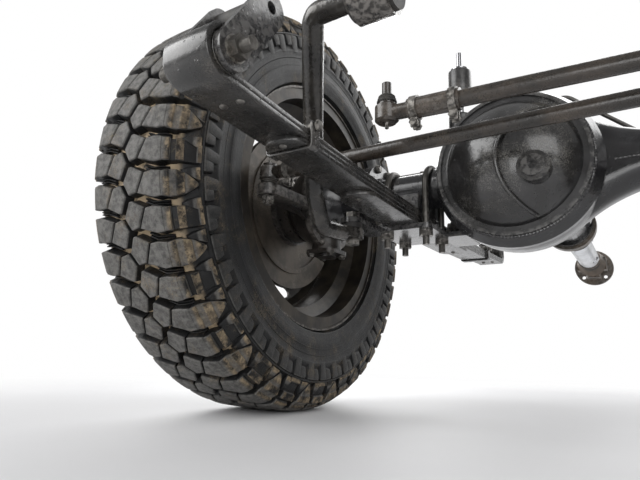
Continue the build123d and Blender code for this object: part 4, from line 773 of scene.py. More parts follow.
    def strip_row(self, strip: Strip, side: int) -> tuple[Shape, np.ndarray]:
        """One row of lugs that run down the shoulder.

        Args:
            strip: Edges and heights along the outer line.
            side: Sign of X from the tyre's middle.

        Returns:
            The lugs and the attribute lug. The section round the tyre is a table: up from the root, across
            with bevelled edges, and down again; the depth of its top changes in steps along the outer line.
        """
        spots = np.array(strip.spots, float)
        q = np.unique(np.concatenate([spots[:, 0], np.linspace(spots[0, 0], spots[-1, 0], 7)]))
        low, high, sunk = (np.interp(q, spots[:, 0], spots[:, k]) for k in (1, 2, 3))
        # Share of the width, step out from the edge, share of the height
        half = [(0, -1.6, -0.2), (0, -0.3, 0.6), (0, 0, 0.88), (0, 0.9, 1)]
        section = np.array(half + [(0.5, 0, 1)] + [(1, -step, share) for _, step, share in half[::-1]])
        root = np.interp(q, *zip(*self.root))[:, None]
        tall = root - sunk[:, None]
        t = low[:, None] + (high - low)[:, None] * section[None, :, 0] + section[None, :, 1]
        depth = root - tall * section[None, :, 2]
        rows = np.repeat(q[:, None], len(section), 1)
        # One more row at each end, three millimetres deeper, closes the lug
        rows = np.concatenate([rows[:1] - 1.2, rows, rows[-1:] + 1.2])
        depth = np.concatenate([depth[:1] + 3, depth, depth[-1:] + 3])
        t = np.concatenate([t[:1], t, t[-1:]])
        turns = np.arange(strip.first, self.pitches, strip.step)
        shape = self.repeat(*self.place(rows, depth), t, side, turns, False)
        # Attribute of the tops: tan dust and painted light on the raised steps; tops sunk 2.6 to 5 mm and more
        # fade to plain black rubber, as painted shade in the pockets
        tone = np.interp(q, (68, 76, 126, 130), (1.0, 2.0, 2.0, 0.62))
        tone *= np.interp(sunk, (2.6, 5.0), (1.0, 0.1))
        top = tone[:, None] * np.clip(section[None, :, 2] * 2.5 - 1.5, 0, 1)
        return shape, np.tile(np.pad(top, ((1, 1), (0, 0))).ravel(), len(turns))

    def build(self, shop: Shop) -> None:
        """Makes the tyre on both sides."""
        casing = self.casing_shape()
        rows = [self.block_row(block, sign) for block in self.blocks for sign in (-1, 1)]
        rows += [self.strip_row(strip, sign) for strip in self.strips for sign in (-1, 1)]
        floor = -np.interp(np.hypot(*casing.points[:, 1:].T), (322, 336), (0.0, 1.0))
        shape = joined([casing] + [row for row, _ in rows])
        lug = np.concatenate([floor] + [top for _, top in rows])
        shop.pair("tyre_with_lugs_*", shape, "wheel_*", "tyre_rubber", "tyre_*", sharp=30, lug=lug)


@dataclass
class LeafSprings:
    """Both leaf springs: strips with rounded edges on concentric arcs; the upper two have rolled ends."""

    spring_x: float = 342.0
    width: float = 52.0
    leaf: float = 6.0
    top_z: float = -42.0
    arc_r: float = 477.0**2 / 28
    eye_y: float = 477.0
    eye_r: float = 13.0
    wrap_gap: float = 1.0
    third_half: float = 375.0
    fourth_half: float = 215.0
    main_roll: float = 236.0
    wrapper_roll: float = 92.0
    corner: float = 1.1
    clip_y: float = 345.0
    clip_half: float = 31.0

    def height(self, y: np.ndarray | float, depth: float) -> np.ndarray:
        """Height of the arc a depth below the top of the main leaf."""
        return self.top_z + self.arc_r - np.sqrt((self.arc_r + depth) ** 2 - np.asarray(y) ** 2)

    def strip(self, path: np.ndarray, half_widths: np.ndarray, middle: float, thick: float) -> Shape:
        """Strip along a path.

        Args:
            path: Rows of (y, z) of its middle line.
            half_widths: Half of its width at each row.
            middle: Place of its middle line along X.
            thick: Its thickness.

        Returns:
            The strip on the left: at each row a flat section with round corners lies across the path.
        """
        runs = np.gradient(path, axis=0)
        runs /= np.linalg.norm(runs, axis=1, keepdims=True)
        turn = np.linspace(0, 0.5 * pi, 4)
        quarter = np.stack([np.cos(turn), np.sin(turn)], -1)
        signs = ((1, 1), (-1, 1), (-1, -1), (1, -1))
        corners = [quarter[:: -1 if k % 2 else 1] * sign for k, sign in enumerate(signs)]
        rows = []
        for (y, z), (dy, dz), half in zip(path, runs, half_widths):
            ring = np.concatenate([
                np.array(sign) * (max(half - self.corner, 0.0), 0.5 * thick - self.corner) + self.corner * c
                for sign, c in zip(signs, corners)
            ])
            rows.append(np.stack([middle + ring[:, 0], y - dz * ring[:, 1], z + dy * ring[:, 1]], -1))
        sides = np.array(rows)
        count = sides.shape[1]
        first, last = (np.repeat(end.mean(1, keepdims=True), count, 1) for end in (sides[:1], sides[-1:]))
        return grid(np.concatenate([first, sides, last]))

    def rolled(self, depth: float, radius: float, last: float) -> Shape:
        """Leaf whose two ends roll upwards round the eyes to an angle in degrees."""
        y = np.linspace(0, self.eye_y - 12, 40)
        half = np.stack([y, self.height(y, depth)], -1)
        turn = np.radians(np.linspace(-84, last, 40))
        eye_z = self.height(self.eye_y, 0) + self.eye_r
        curl = np.stack([self.eye_y + radius * np.cos(turn), eye_z + radius * np.sin(turn)], -1)
        half = np.vstack([half, curl])
        path = np.vstack([half[:0:-1] * (-1, 1), half])
        return self.strip(path, np.full(len(path), 0.5 * self.width), self.spring_x, self.leaf)

    def short(self, half_length: float, index: int) -> Shape:
        """Leaf number index with round ends."""
        half = 0.5 * self.width
        turn = np.linspace(0, 0.5 * pi, 12)
        start = half_length - half
        y = np.concatenate([np.linspace(0, start, 16)[:-1], start + half * np.sin(turn)])
        wide = np.concatenate([np.full(15, half), half * np.cos(turn)])
        y, wide = np.concatenate([-y[:0:-1], y]), np.concatenate([wide[:0:-1], wide])
        path = np.stack([y, self.height(y, (index + 0.5) * self.leaf)], -1)
        return self.strip(path, np.maximum(wide, self.corner), self.spring_x, self.leaf)

    def clip(self) -> Shape:
        """Strap bent up round the upper three leaves, at the clips' place in front and behind."""
        half, thick, bend = self.clip_half - 2.5, 3.0, 4.0
        top = float(self.height(self.clip_y, 0)) + 9
        low = float(self.height(self.clip_y, 3 * self.leaf)) - 0.5 * thick
        turn = np.linspace(0, 0.5 * pi, 6)
        curve = np.stack([half - bend + bend * np.sin(turn), low + bend - bend * np.cos(turn)], -1)
        side = np.vstack([curve, [(half, 0.5 * (low + top)), (half, top)]])
        path = np.vstack([side[::-1] * (-1, 1), side])
        strap = self.strip(path, np.full(len(path), 7.5), 0.0, thick)
        across = np.array([[0, 1, 0], [1, 0, 0], [0, 0, 1]])
        return joined([strap.turned(across, (self.spring_x, end * self.clip_y, 0)) for end in (-1, 1)])

    def rivets(self) -> Shape:
        """One rivet below each end of the lower leaves and two below each end of the wrapper."""
        parts = []
        dome = [(-2, 0), (-2, 4.4), (0, 4.4), (1.4, 3.4), (2.2, 1.8), (2.5, 0)]
        # Distance from the middle, number of the leaf, places across it
        third, fourth, wrapper = self.third_half - 14, self.fourth_half - 22, self.eye_y - 34
        rows = ((third, 2, (0,)), (fourth, 3, (0,)), (wrapper, 1, (-12, 8)))
        for y, index, places in rows:
            z = float(self.height(y, (index + 1) * self.leaf))
            spots = [(self.spring_x + dx, end * y, z) for dx in places for end in (-1, 1)]
            parts += [lathe(dome, spot, (0, 0, -1), 16) for spot in spots]
        return joined(parts)

    def clip_bolts(self) -> Shape:
        """Bolt with its tube over the main leaf in each clip."""
        parts = []
        x0, x1 = self.spring_x - self.clip_half, self.spring_x + self.clip_half
        z = float(self.height(self.clip_y, 0)) + 5.2
        for y in (-self.clip_y, self.clip_y):
            parts += [round_bar((x0 + d, y, z), (x1 - d, y, z), r, 0.4, 16) for d, r in ((0, 3.2), (5, 4.8))]
            parts += [nut((x1, y, z), ACROSS, 11, 5, 3), nut((x0, y, z), (-1, 0, 0), 11, 4.5)]
        return joined(parts)

    def build(self, shop: Shop) -> None:
        """Makes the leaves, clips, rivets and clip bolts on both sides."""
        leaf, eye = self.leaf, self.eye_r
        main = self.rolled(0.5 * leaf, eye + 0.5 * leaf, self.main_roll)
        wrapper = self.rolled(1.5 * leaf, eye + 1.5 * leaf + self.wrap_gap, self.wrapper_roll)
        for node, shape in (("main_leaf_*", main), ("wrapper_leaf_*", wrapper)):
            shop.pair(f"{node}_with_eyes", shape, "root", PAINT, node, sharp=50)
        for name, node, shape in (
            ("third_leaves_rounded", "third_leaves", self.short(self.third_half, 2)),
            ("fourth_leaves_rounded", "fourth_leaves", self.short(self.fourth_half, 3)),
            ("clip_straps", "leaf_clips", self.clip()),
        ):
            shop.make(name, shape.doubled(), "root", PAINT, replaces=(node,), sharp=50)
        shop.make("leaf_rivets", self.rivets().doubled(), "root", PAINT, STEEL)
        shop.make("clip_bolts", self.clip_bolts().doubled(), "root", STEEL)


@dataclass(frozen=True)
class Heads:
    """Bolt heads or nuts round a circle, or one in its middle.

    Attributes:
        name: Name of the group.
        body: Body that it rides on; a star stands for the side.
        middle: Middle of the circle; the one on the left, where both sides have it.
        axis: Direction in which the heads point.
        radius: Radius of the circle.
        count: Number of heads.
        start: Angle of the first, in degrees.
        across: Size across the flats.
        height: Height of a head.
        stud: Length of the bolt's end above it.
        washer: Radius of the washer.
        both: Whether the other side of the vehicle has them too.
    """

    name: str
    body: str
    middle: tuple
    axis: tuple
    radius: float = 0.0
    count: int = 1
    start: float = 0.0
    across: float = 10.0
    height: float = 6.0
    stud: float = 0.0
    washer: float = 0.0
    both: bool = True

    def shape(self) -> Shape:
        """The heads on the left."""
        turns = radians(self.start) + 2 * pi * np.arange(self.count) / self.count
        ring = self.radius * np.stack([np.cos(turns), np.sin(turns), 0 * turns], -1)
        places = np.array(self.middle) + ring @ basis(self.axis).T
        return joined([nut(p, self.axis, self.across, self.height, self.stud, self.washer) for p in places])


HEADS = (
    Heads("carrier_bolts", "root", (-176, 55, 0), (0, 1, 0), 88, 8, 0, 13, 8, 0, 9, both=False),
    Heads("ball_flange_heads", "root", (400, 0, 0), (-1, 0, 0), 49, 8, 22.5, 11, 6, 0, 7),
    Heads("ball_flange_nuts", "root", (414, 0, 0), (1, 0, 0), 49, 8, 22.5, 11, 7, 3, 7),
    Heads("kingpin_bolts_top", "knuckle_*", (510, 0, 90), (0, 0, 1), 28.5, 4, 45, 11, 5, 0, 7),
    Heads("kingpin_bolts_bottom", "knuckle_*", (510, 0, -90), (0, 0, -1), 28.5, 4, 45, 11, 5, 0, 7),
    Heads("seal_bolts", "knuckle_*", (502, 0, 0), (-1, 0, 0), 77, 8, 22.5, 8, 4, 0, 5),
    Heads("caliper_bolt_top", "knuckle_*", (580, 92, 38), (-1, 0, 0), across=15, height=9, washer=10),
    Heads("caliper_bolt_bottom", "knuckle_*", (580, 92, -38), (-1, 0, 0), across=15, height=9, washer=10),
    Heads("wheel_nuts", "wheel_*", (634, 0, 0), (1, 0, 0), 69.85, 5, 0, 19, 15, 5),
    Heads("locking_hub_screws", "wheel_*", (692, 0, 0), (1, 0, 0), 38, 6, 0, 5.5, 4),
    Heads("yoke_bolts", "propshaft", (-136, 190, -38), (0, 1, 0), 33, 4, 45, 10, 6, 0, 6, both=False),
    Heads("damper_pin_nuts_outer", "root", (307, 86, -44), (1, 0, 0), across=17, height=8, washer=10),
    Heads("damper_pin_nuts_inner", "root", (265, 86, -44), (-1, 0, 0), across=17, height=7, washer=10),
    Heads("arm_stop_bolt", "knuckle_*", (478, -34, -44), (-0.8, 0.1, 0), across=11, height=6, stud=8),
)


@dataclass
class Fasteners:
    """Every group of bolt heads, the threads of the spring clamps and the shackle bolts' ends."""

    groups: tuple = HEADS
    spring_x: float = 342.0
    clamp: tuple = (32.0, 35.5)
    nut_z: float = -83.0
    end_z: float = -96.0
    eye: tuple = (-477.0, -14.99)
    plate_dx: float = 33.5
    bolt_dx: float = 42.5

    def thread(self, start: tuple, axis: tuple, length: float, radius: float) -> Shape:
        """Threaded bar: its radius falls and rises along the axis."""
        ridges = [(d, radius + (0.12 if k % 2 else -0.28)) for k, d in enumerate(np.arange(0, length, 0.7))]
        return lathe([(0, 0), *ridges, (length, radius - 0.6), (length, 0)], start, axis, 18)

    def build(self, shop: Shop) -> None:
        """Makes each group."""
        for group in self.groups:
            shape = group.shape()
            if "*" in group.body:
                shop.pair(f"{group.name}_*", shape, group.body, STEEL)
            else:
                shop.make(group.name, shape.doubled() if group.both else shape, group.body, STEEL)
        threads, washers = [], []
        dx, dy = self.clamp
        for x in (self.spring_x - dx, self.spring_x + dx):
            for y in (-dy, dy):
                threads.append(self.thread((x, y, self.nut_z), (0, 0, -1), self.nut_z - self.end_z, 5.2))
                rows = [(-2.4, 0), (-2.4, 10), (0.2, 10.4), (0.2, 0)]
                washers.append(lathe(rows, (x, y, self.nut_z + 9), UP, 28))
        for sign in (-1, 1):
            axis = (sign, 0, 0)
            threads.append(self.thread((self.spring_x + sign * self.bolt_dx, *self.eye), axis, 11.6, 6.1))
            rows = [(0, 0), (0, 12.5), (1.2, 12.5), (1.2, 0)]
            washers.append(lathe(rows, (self.spring_x + sign * self.plate_dx, *self.eye), axis, 28))
        for name, parts in (("clamp_threads", threads), ("clamp_washers", washers)):
            shop.make(name, joined(parts).doubled(), "root", STEEL)


@dataclass
class HousingDetail:
    """Weld beads, seams, ridges, breather and pipe fittings of the axle housing."""

    diff_x: float = -176.0
    seat_y: float = -62.0
    cover_edge: float = 102.6
    dome_r: float = 102.0
    dome_y: float = -19.0
    spring_x: float = 342.0
    pad_half: tuple = (25.0, 27.04)
    pad_z: float = -27.0
    tube_end: float = 399.4
    collar_r: float = 31.2
    pipe: tuple = (25, 41)
    # Rows of (x, half of the arm's depth)
    arm: tuple = ((-54, 32.0), (62, 32.0), (70, 30.2), (296, 29.8))

    def seams(self) -> list[Shape]:
        """Weld seams on the front and the back of the long arm."""
        x = np.linspace(self.arm[0][0], self.arm[-1][0], 60)
        y = np.interp(x, *zip(*self.arm)) - 0.2
        return [bead(np.stack([x, sign * y, 0 * x - 5], -1), 1.3, False, 5.0) for sign in (-1, 1)]

    def on_dome(self, x: float, z: float, radius: float, arc: tuple, sunk: float, size: float) -> Shape:
        """Raised ridge along an arc on the cover's dome, or a depth below it."""
        a = np.radians(np.linspace(*arc, 70))
        px, pz = x + radius * np.cos(a), z + radius * np.sin(a)
        out = (px - self.diff_x) ** 2 + pz**2
        keep = out < (self.cover_edge - 15) ** 2
        py = self.dome_y - np.sqrt(self.dome_r**2 - out[keep]) + sunk
        return pipe(np.stack([px[keep], py, pz[keep]], -1), np.full(keep.sum(), size), 12)

    def build(self, shop: Shop) -> None:
        """Makes the beads and fittings."""
        edge = circle((self.diff_x, self.seat_y + 0.3, 0), [self.cover_edge + 0.2] * 2, count=120)
        welds = [bead(edge, 1.9, True, 4.6), *self.seams()]
        length, depth = self.pad_half
        for sign in (-1, 1):
            x = sign * self.spring_x + np.linspace(-length, length, 12)
            for y in (-depth, depth):
                welds.append(bead(np.stack([x, 0 * x + y, 0 * x + self.pad_z], -1), 2.6, False))
            collar = circle((sign * self.tube_end, 0, 0), [self.collar_r] * 2, (1, 2), 72)
            welds.append(bead(collar, 2.4, True))
        shop.make("housing_welds", joined(welds), "root", "axle_paint")
        # Middle in x and z, radius, arc in degrees, depth below the dome, size
        rows = ((-105, -12, 79, (112, 262), 0.6, 2.6), (-140, -26, 30, (-75, 62), 7.2, 1.3))
        ridges = [self.on_dome(*row) for row in rows]
        shop.make("cover_ridges", joined(ridges), "root", "axle_paint", "dome_paint")
        y, z = self.pipe
        breather = [(0, 0), (0, 5), (6, 5), (6, 3), (12, 3), (12, 6.5), (19, 6.5), (20, 5.5), (20, 0)]
        clip = [(0, 3.2), (0, 4.6), (9, 4.6), (9, 3.2)]
        foot = round_bar((-335.5, y, z - 4), (-335.5, y, z - 14), 2.4, 0.3, 12)
        fittings = [lathe(breather, (60, 0, 29), UP, 20), foot]
        fittings += [lathe(clip, place, (1, 0.02, 0), 18) for place in ((-150, 8, 115.2), (-340, y, z))]
        fittings += [nut(place, ACROSS, 10, 12) for place in ((-self.tube_end, y, z), (54, 22, 31.4))]
        shop.make("housing_fittings", joined(fittings), "root", STEEL)


@dataclass
class SteeringDetail:
    """Boots, slotted nuts, grease nipples and sleeve clamps of the steering bars."""

    kingpin_x: float = 510.0
    arm: float = 172.0
    rod_z: float = 8.0
    arm_bottom: float = -28.0
    spacing: float = 46.0
    inboard: float = 20.0
    drag_end: tuple = (-290.0, 34.0)
    clamp_at: tuple = (38.0, 86.0)
    nipple: tuple = ((0, 0), (0, 3.2), (4, 2.2), (7, 2.6), (8, 1.6), (8, 0))

    def boot(self, place: tuple, up: int, length: float) -> Shape:
        """Folded rubber boot from the housing's end to the arm."""
        d = np.linspace(0, length, 17)
        swell = 12.2 - 3.0 * d / length + 1.1 * np.sin(d / length * 3 * pi) ** 2
        return lathe([(0, 0), *zip(d, swell), (length, 0)], place, (0, 0, up), 32)

    def slotted_nut(self, x: float, y: float) -> Shape:
        """Slotted nut below the arm, with its pin."""
        z = self.arm_bottom
        tooth = prism(rectangle(1.6, 1.6), 3.6, 0.3)
        parts = [nut((x, y, z), (0, 0, -1), 17, 8, 6)]
        for a in np.arange(6) * pi / 3:
            parts.append(tooth.turned(np.eye(3), (x + 6.4 * cos(a), y + 6.4 * sin(a), z - 11.6)))
        parts.append(round_bar((x - 10, y, z - 9.8), (x + 10, y, z - 9.8), 1.1, 0.2, 8))
        return joined(parts)

    def clamp(self, place: np.ndarray, axis: np.ndarray) -> Shape:
        """Clamp band round a sleeve, with ears and a bolt below it."""
        down = np.array([0, 0, -1.0])
        side = np.cross(down, axis)
        rows = np.stack([axis, side, down], 1)
        ear, bolt = prism(rectangle(4.5, 1.6), 12, 0.4), place + 21 * down
        parts = [lathe([(-4.5, 12.8), (-4.5, 15.2), (4.5, 15.2), (4.5, 12.8)], place, axis, 40)]
        parts += [ear.turned(rows, place + 14 * down + shift * side) for shift in (-4, 4)]
        parts.append(round_bar(bolt - 10 * side, bolt + 9 * side, 2.8, 0.3, 12))
        parts += [nut(bolt + 5.6 * side, side, 9, 4.5), nut(bolt - 5.6 * side, -side, 9, 4)]
        return joined(parts)

    def build(self, shop: Shop) -> None:
        """Makes the details on the tie rod and on the drag link."""
        near = np.array([self.kingpin_x - self.inboard, -self.arm - self.spacing, self.rod_z])
        far = np.array([self.drag_end[0], near[1], self.drag_end[1]])
        run = (near - far) / np.linalg.norm(near - far)
        ends = [(sign * self.kingpin_x, -self.arm) for sign in (-1, 1)]
        joints = {"tie_rod": ends, "drag_link": [tuple(near[:2])]}
        sleeves = {"tie_rod": [], "drag_link": [(far + reach * run, run) for reach in self.clamp_at]}
        for sign in (-1, 1):
            for reach in self.clamp_at:
                place = np.array([sign * (self.kingpin_x - reach), -self.arm, self.rod_z])
                sleeves["tie_rod"].append((place, np.array([1.0, 0, 0])))
        for body, places in joints.items():
            boots = [self.boot((x, y, self.rod_z - 12), -1, 8.0) for x, y in places]
            metal = [self.slotted_nut(x, y) for x, y in places]
            metal += [lathe(self.nipple, (x, y, self.rod_z + 14), UP, 14) for x, y in places]
            metal += [self.clamp(place, axis) for place, axis in sleeves[body]]
            if body == "drag_link":
                boots.append(self.boot(far + (0, 0, 14.5), 1, 10.0))
                metal.append(lathe(self.nipple, far - (0, 0, 12), (0, 0, -1), 14))
            shop.make(f"{body}_boots", joined(boots), body, RUBBER)
            shop.make(f"{body}_hardware", joined(metal), body, STEEL)


@dataclass
class PropshaftDetail:
    """Weld rings, balance weights, circlips, boot and grease nipples of the propshaft."""

    x: float = -136.0
    z: float = -38.0
    end: float = 512.0
    weld_y: tuple = (276.6, 512.2)
    crosses: tuple = (226.0, 604.0)
    tube_r: float = 20.2
    weld_r: float = 21.4
    cap_r: float = 28.9
    # Rows of (y, angle) of the balance weights
    weights: tuple = ((300, 2.2), (478, 0.6))

    def build(self, shop: Shop) -> None:
        """Makes the details."""
        rings = [circle((self.x, y, self.z), [self.weld_r] * 2) for y in self.weld_y]
        welds = joined([bead(ring, size, True) for ring, size in zip(rings, (1.8, 1.6))])
        shop.make("shaft_welds", welds, "propshaft", "shaft_iron")
        plate, weights = prism(rectangle(11, 8), 2.4, 0.5), []
        for y, a in self.weights:
            place = (self.x + self.tube_r * cos(a), y, self.z - self.tube_r * sin(a))
            weights.append(plate.turned([[0, sin(a), cos(a)], [1, 0, 0], [0, cos(a), -sin(a)]], place))
        shop.make("balance_weights", joined(weights), "propshaft", "shaft_silver")
        d = np.linspace(0, 30, 31)
        folds = zip(d + 0.5, 18.6 + 1.6 * np.sin(d / 30 * 10 * pi) ** 2)
        boot = lathe([(0, 17), *folds, (31, 17)], (self.x, self.end + 14, self.z), (0, 1, 0), 40)
        shop.make("slip_boot", boot, "propshaft", RUBBER)
        metal = []
        for y in self.crosses:
            for axis in (ACROSS, (-1, 0, 0), UP, (0, 0, -1)):
                face = np.array([self.x, y, self.z]) + self.cap_r * np.array(axis)
                metal.append(lathe([(0, 8.2), (0, 11.2), (0.9, 11.2), (0.9, 8.2)], face, axis, 32))
            nipple = [(0, 0), (0, 2.6), (5, 2), (8, 2.4), (9, 1.4), (9, 0)]
            metal.append(lathe(nipple, (self.x + 6.2, y, self.z - 6.2), (1, 0, -1), 12))
        shop.make("shaft_hardware", joined(metal), "propshaft", STEEL)


@dataclass
class WheelEndDetail:
    """Seal lip, brake pads and fittings of the knuckle; valve, weld and hub rings of the wheel."""

    kingpin_x: float = 510.0
    seat_x: float = 630.0
    bore_r: float = 116.0
    bridge_z: float = 42.32
    pad_r: tuple = (134.0, 98.0)
    pad_half_arc: float = 19.0
    pad_dx: tuple = (84.0, 100.8)
    weld_r: float = 181.2
    valve_angle: float = 64.0

    def seal(self) -> Shape:
        """Felt and rubber lip round the ball at the knuckle's open end."""
        rows = [(-8, 72), (-9.6, 71), (-10.2, 68), (-9.8, 64.2), (-8.2, 62.6), (-6, 62.6)]
        return lathe(rows, (self.kingpin_x, 0, 0), segments=72)

    def caliper_parts(self) -> Shape:
        """Bore ring, union, bleed screw and bridge bolts of the caliper."""
        x, r = self.kingpin_x + 60, self.bore_r
        ring = [(0, 0), (0, 19), (-2.2, 20.5), (-2.2, 12), (-0.6, 11), (-0.6, 0)]
        parts = [
            lathe(ring, (x, r, 0), ACROSS, 40),
            nut((x + 8, r, 20), (-0.3, 0, 1), 11, 12, 10),
            nut((x + 6, r + 4, -22), (-0.2, 0, -1), 9, 8),
            round_bar((x + 4, r + 4, -28), (x + 2, r + 4, -42), 2.4, 0.5, 12),
        ]
        parts += [nut((x + 20, r + 12, z), (-1, 0, 0), 13, 7) for z in (-self.bridge_z, self.bridge_z)]
        return joined(parts)

    def pads(self) -> Shape:
        """Backing plates of the pads on both faces of the disc."""
        a = np.radians(np.linspace(-self.pad_half_arc, self.pad_half_arc, 16))
        arc = np.stack([np.cos(a), np.sin(a)], -1)
        plate = prism(np.vstack([self.pad_r[0] * arc, self.pad_r[1] * arc[::-1]]), 3.2, 0.4)
        rows = [[0, 0, 1], [1, 0, 0], [0, 1, 0]]
        return joined([plate.turned(rows, (self.kingpin_x + dx, 0, 0)) for dx in self.pad_dx])

    def wheel_parts(self) -> Shape:
        """Valve with its cap, ring of the hub's bearing cap and ring of the locking dial."""
        valve = [(0, 0), (0, 5.4), (4, 5.4), (6, 3.6), (22, 3.2), (22, 4), (31, 4), (32, 3.2), (32, 0)]
        c, s = cos(radians(self.valve_angle)), sin(radians(self.valve_angle))
        cap = [(0, 42), (0, 47), (6, 47), (8, 44.5), (8, 42)]
        dial = [(0, 24.5), (0, 26.5), (1.2, 27.0), (1.2, 24.5)]
        return joined([
            lathe(valve, (671, 181 * c, 181 * s), (1, -0.22 * c, -0.22 * s), 18),
            lathe(cap, (636, 0, 0)), lathe(dial, (709.9, 0, 0), segments=48),
        ])

    def build(self, shop: Shop) -> None:
        """Makes the details on both sides."""
        joint = circle((self.seat_x - 9.5, 0, 0), [self.weld_r] * 2, (1, 2), 160)
        weld = bead(joint, 2.4, True, 6.0)
        for name, shape, body, slot in (
            ("ball_seal", self.seal(), "knuckle", RUBBER),
            ("caliper_fittings", self.caliper_parts(), "knuckle", STEEL),
            ("pad_plates", self.pads(), "knuckle", "brake_iron"),
            ("wheel_fittings", self.wheel_parts(), "wheel", "hub_steel"),
            ("rim_weld", weld, "wheel", "rim_paint"),
        ):
            shop.pair(f"{name}_*", shape, f"{body}_*", slot)


@dataclass
class DamperDetail:
    """Dust tubes, bushes and welds of the dampers."""

    x: float = 286.0
    y: float = 86.0
    eye_z: float = -44.0
    body_top: float = 160.0
    tube_top: float = 248.8

    def build(self, shop: Shop) -> None:
        """Makes the details on both sides."""
        tube = [(0, 0), (0, 17), (-3, 20.5), (-7, 21), (-58, 21), (-58, 20.2), (-8, 20.2), (-8, 0)]
        collar = [(-2, 0), (-2, 12), (0, 13.5), (3, 13.5), (4.5, 11), (4.5, 7)]
        half = [(-16, 7.6), (-17.2, 8.5), (-17.2, 15.2), (-15, 16.2)]
        rings = ((tube, self.tube_top), (collar, self.body_top))
        metal = [lathe(rows, (self.x, self.y, z), UP, 40) for rows, z in rings]
        metal.append(bead(circle((self.x, self.y, -30.2), (15.4, 17.5), (0, 1), 40), 1.9, True))
        bush = lathe(half + [(-d, r) for d, r in half[::-1]], (self.x, self.y, self.eye_z), ACROSS, 40)
        shop.make("damper_dust_tubes", joined(metal).doubled(), "root", "damper_paint")
        shop.make("damper_bushes", bush.doubled(), "root", RUBBER)


@dataclass
class Camera:
    """Camera of the photograph: at floor level in front of the axle, looking up to the right."""

    place: tuple = (-38.0, -760.0, -263.0)
    yaw: float = 32.6
    pitch: float = 12.63
    roll: float = 1.54
    lens: float = 28.78

    def build(self) -> None:
        """Makes the camera: looking down, it is rolled, raised by 90 degrees and the pitch, and turned."""
        data = bpy.data.cameras.new("camera")
        data.sensor_width, data.lens, data.clip_start = 36.0, self.lens, 0.01
        camera = bpy.data.objects.new("camera", data)
        aim = rotation(self.yaw, "Z") @ rotation(90 + self.pitch, "X") @ rotation(self.roll, "Z")
        camera.matrix_world = Matrix.Translation(in_metres(self.place)) @ aim
        bpy.context.scene.collection.objects.link(camera)
        bpy.context.scene.camera = camera


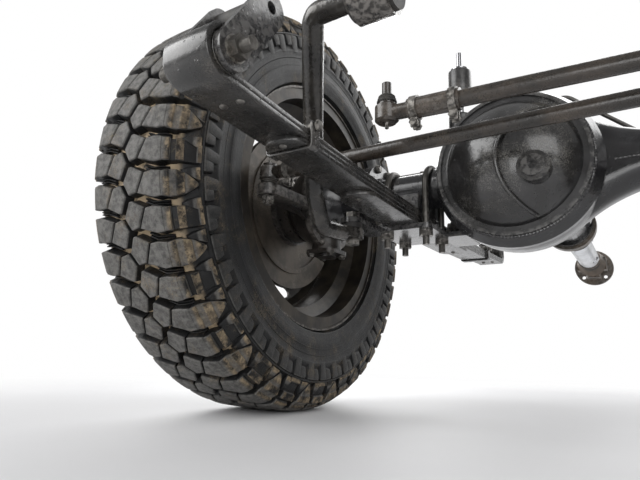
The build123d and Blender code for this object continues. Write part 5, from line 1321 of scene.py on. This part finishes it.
@dataclass
class Studio:
    """Pale floor, white surroundings and soft lamps."""

    floor_z: float = -358.0
    floor_half: float = 12.0
    fade: tuple = (1.0, 1.8)
    ambient: float = 0.30
    lamps: tuple = (
        # place in millimetres, size in metres, power in watts
        ((-2600, -2200, 1500), 2.6, 95.0),
        ((2400, -2600, 1300), 2.4, 60.0),
        ((-2200, 2600, 1500), 2.6, 70.0),
        ((900, 2600, 2200), 2.6, 60.0),
        ((300, -1900, -250), 1.1, 12.0),
    )

    def build(self) -> None:
        """Makes floor, world and lamps."""
        self.floor()
        self.world()
        for index, (place, size, power) in enumerate(self.lamps):
            data = bpy.data.lights.new(f"lamp_{index}", "AREA")
            data.size, data.energy = size, power
            lamp = bpy.data.objects.new(f"lamp_{index}", data)
            at = in_metres(place)
            aim = (Vector(AXLE_CENTRE) - at).to_track_quat("-Z", "Y").to_matrix().to_4x4()
            lamp.matrix_world = Matrix.Translation(at) @ aim
            bpy.context.scene.collection.objects.link(lamp)

    def floor(self) -> None:
        """Pale floor with faint wear."""
        mesh = bpy.data.meshes.new("floor")
        x, y, z = in_metres((0, 0, self.floor_z))
        corners = [(x + dx, y + dy, z) for dx, dy in rectangle(self.floor_half, self.floor_half).tolist()]
        mesh.from_pydata(corners, [], [(0, 1, 2, 3)])
        floor = bpy.data.objects.new("floor", mesh)
        bpy.context.scene.collection.objects.link(floor)
        n = Nodes(bpy.data.materials.new("pale_floor"))
        tone = n.mix(n.noise(3, 6), (0.70, 0.70, 0.71), (0.76, 0.76, 0.77))
        material = n.finish(tone, n.span(n.noise(5, 4), 0.5, 0.7), n.bump(n.noise(60, 3), 0.0002))
        # Far from the object the camera sees plain white
        place = n.add("ShaderNodeNewGeometry").outputs["Position"]
        away = n.add("ShaderNodeVectorMath", {0: place, 1: (x, y, z)}, operation="DISTANCE")
        seen = n.add("ShaderNodeLightPath").outputs["Is Camera Ray"]
        far = n.times(n.band(away.outputs["Value"], *self.fade), seen)
        near, plain = n.tree.nodes["Principled BSDF"].outputs[0], n.add("ShaderNodeEmission").outputs[0]
        both = n.add("ShaderNodeMixShader", {0: far, 1: near, 2: plain})
        n.wire(n.tree.nodes["Material Output"], {"Surface": both.outputs[0]})
        mesh.materials.append(material)

    def world(self) -> None:
        """White for the camera; soft grey light and, in gloss, pale walls below a dark ceiling."""
        n = Nodes(bpy.data.worlds.new("studio"))
        bpy.context.scene.world = n.owner
        rays = n.add("ShaderNodeLightPath").outputs
        up = n.add("ShaderNodeSeparateXYZ", {0: n.where["Generated"]}).outputs["Z"]
        fall = {"From Min": 0.05, "From Max": 0.6, "To Min": 0.9, "To Max": 0.08}
        room = n.add("ShaderNodeMapRange", {"Value": up, **fall}).outputs["Result"]
        level = n.add("ShaderNodeMath", {0: rays["Is Glossy Ray"], 1: room}, operation="MULTIPLY")
        for other in (rays["Is Camera Ray"], rays["Is Transmission Ray"], self.ambient):
            level = n.add("ShaderNodeMath", {0: level.outputs[0], 1: other}, operation="MAXIMUM")
        n.wire(n.tree.nodes["Background"], {"Color": (1.0, 1.0, 1.0), "Strength": level.outputs[0]})


def main() -> None:
    """Builds the camera, the studio and each sub-assembly in turn."""
    logging.basicConfig(level=logging.INFO, format="%(message)s")
    bpy.context.scene.view_settings.view_transform = "Standard"
    Camera().build()
    Studio().build()
    shop = Shop()
    slots = {row["node"]: row["material_slot"] for row in frame["record"]["subparts"]}
    other = {"axle_cover": "dome_paint", "filler_plug": "dome_paint"}
    for node in frame["nodes"]:
        shop.dress(node, other.get(node, slots[node]))
    details = (HousingDetail, SteeringDetail, PropshaftDetail, WheelEndDetail, DamperDetail)
    for kind in (TyrePiece, LeafSprings, Fasteners, *details):
        kind().build(shop)
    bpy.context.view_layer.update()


if __name__ == "__main__":
    main()
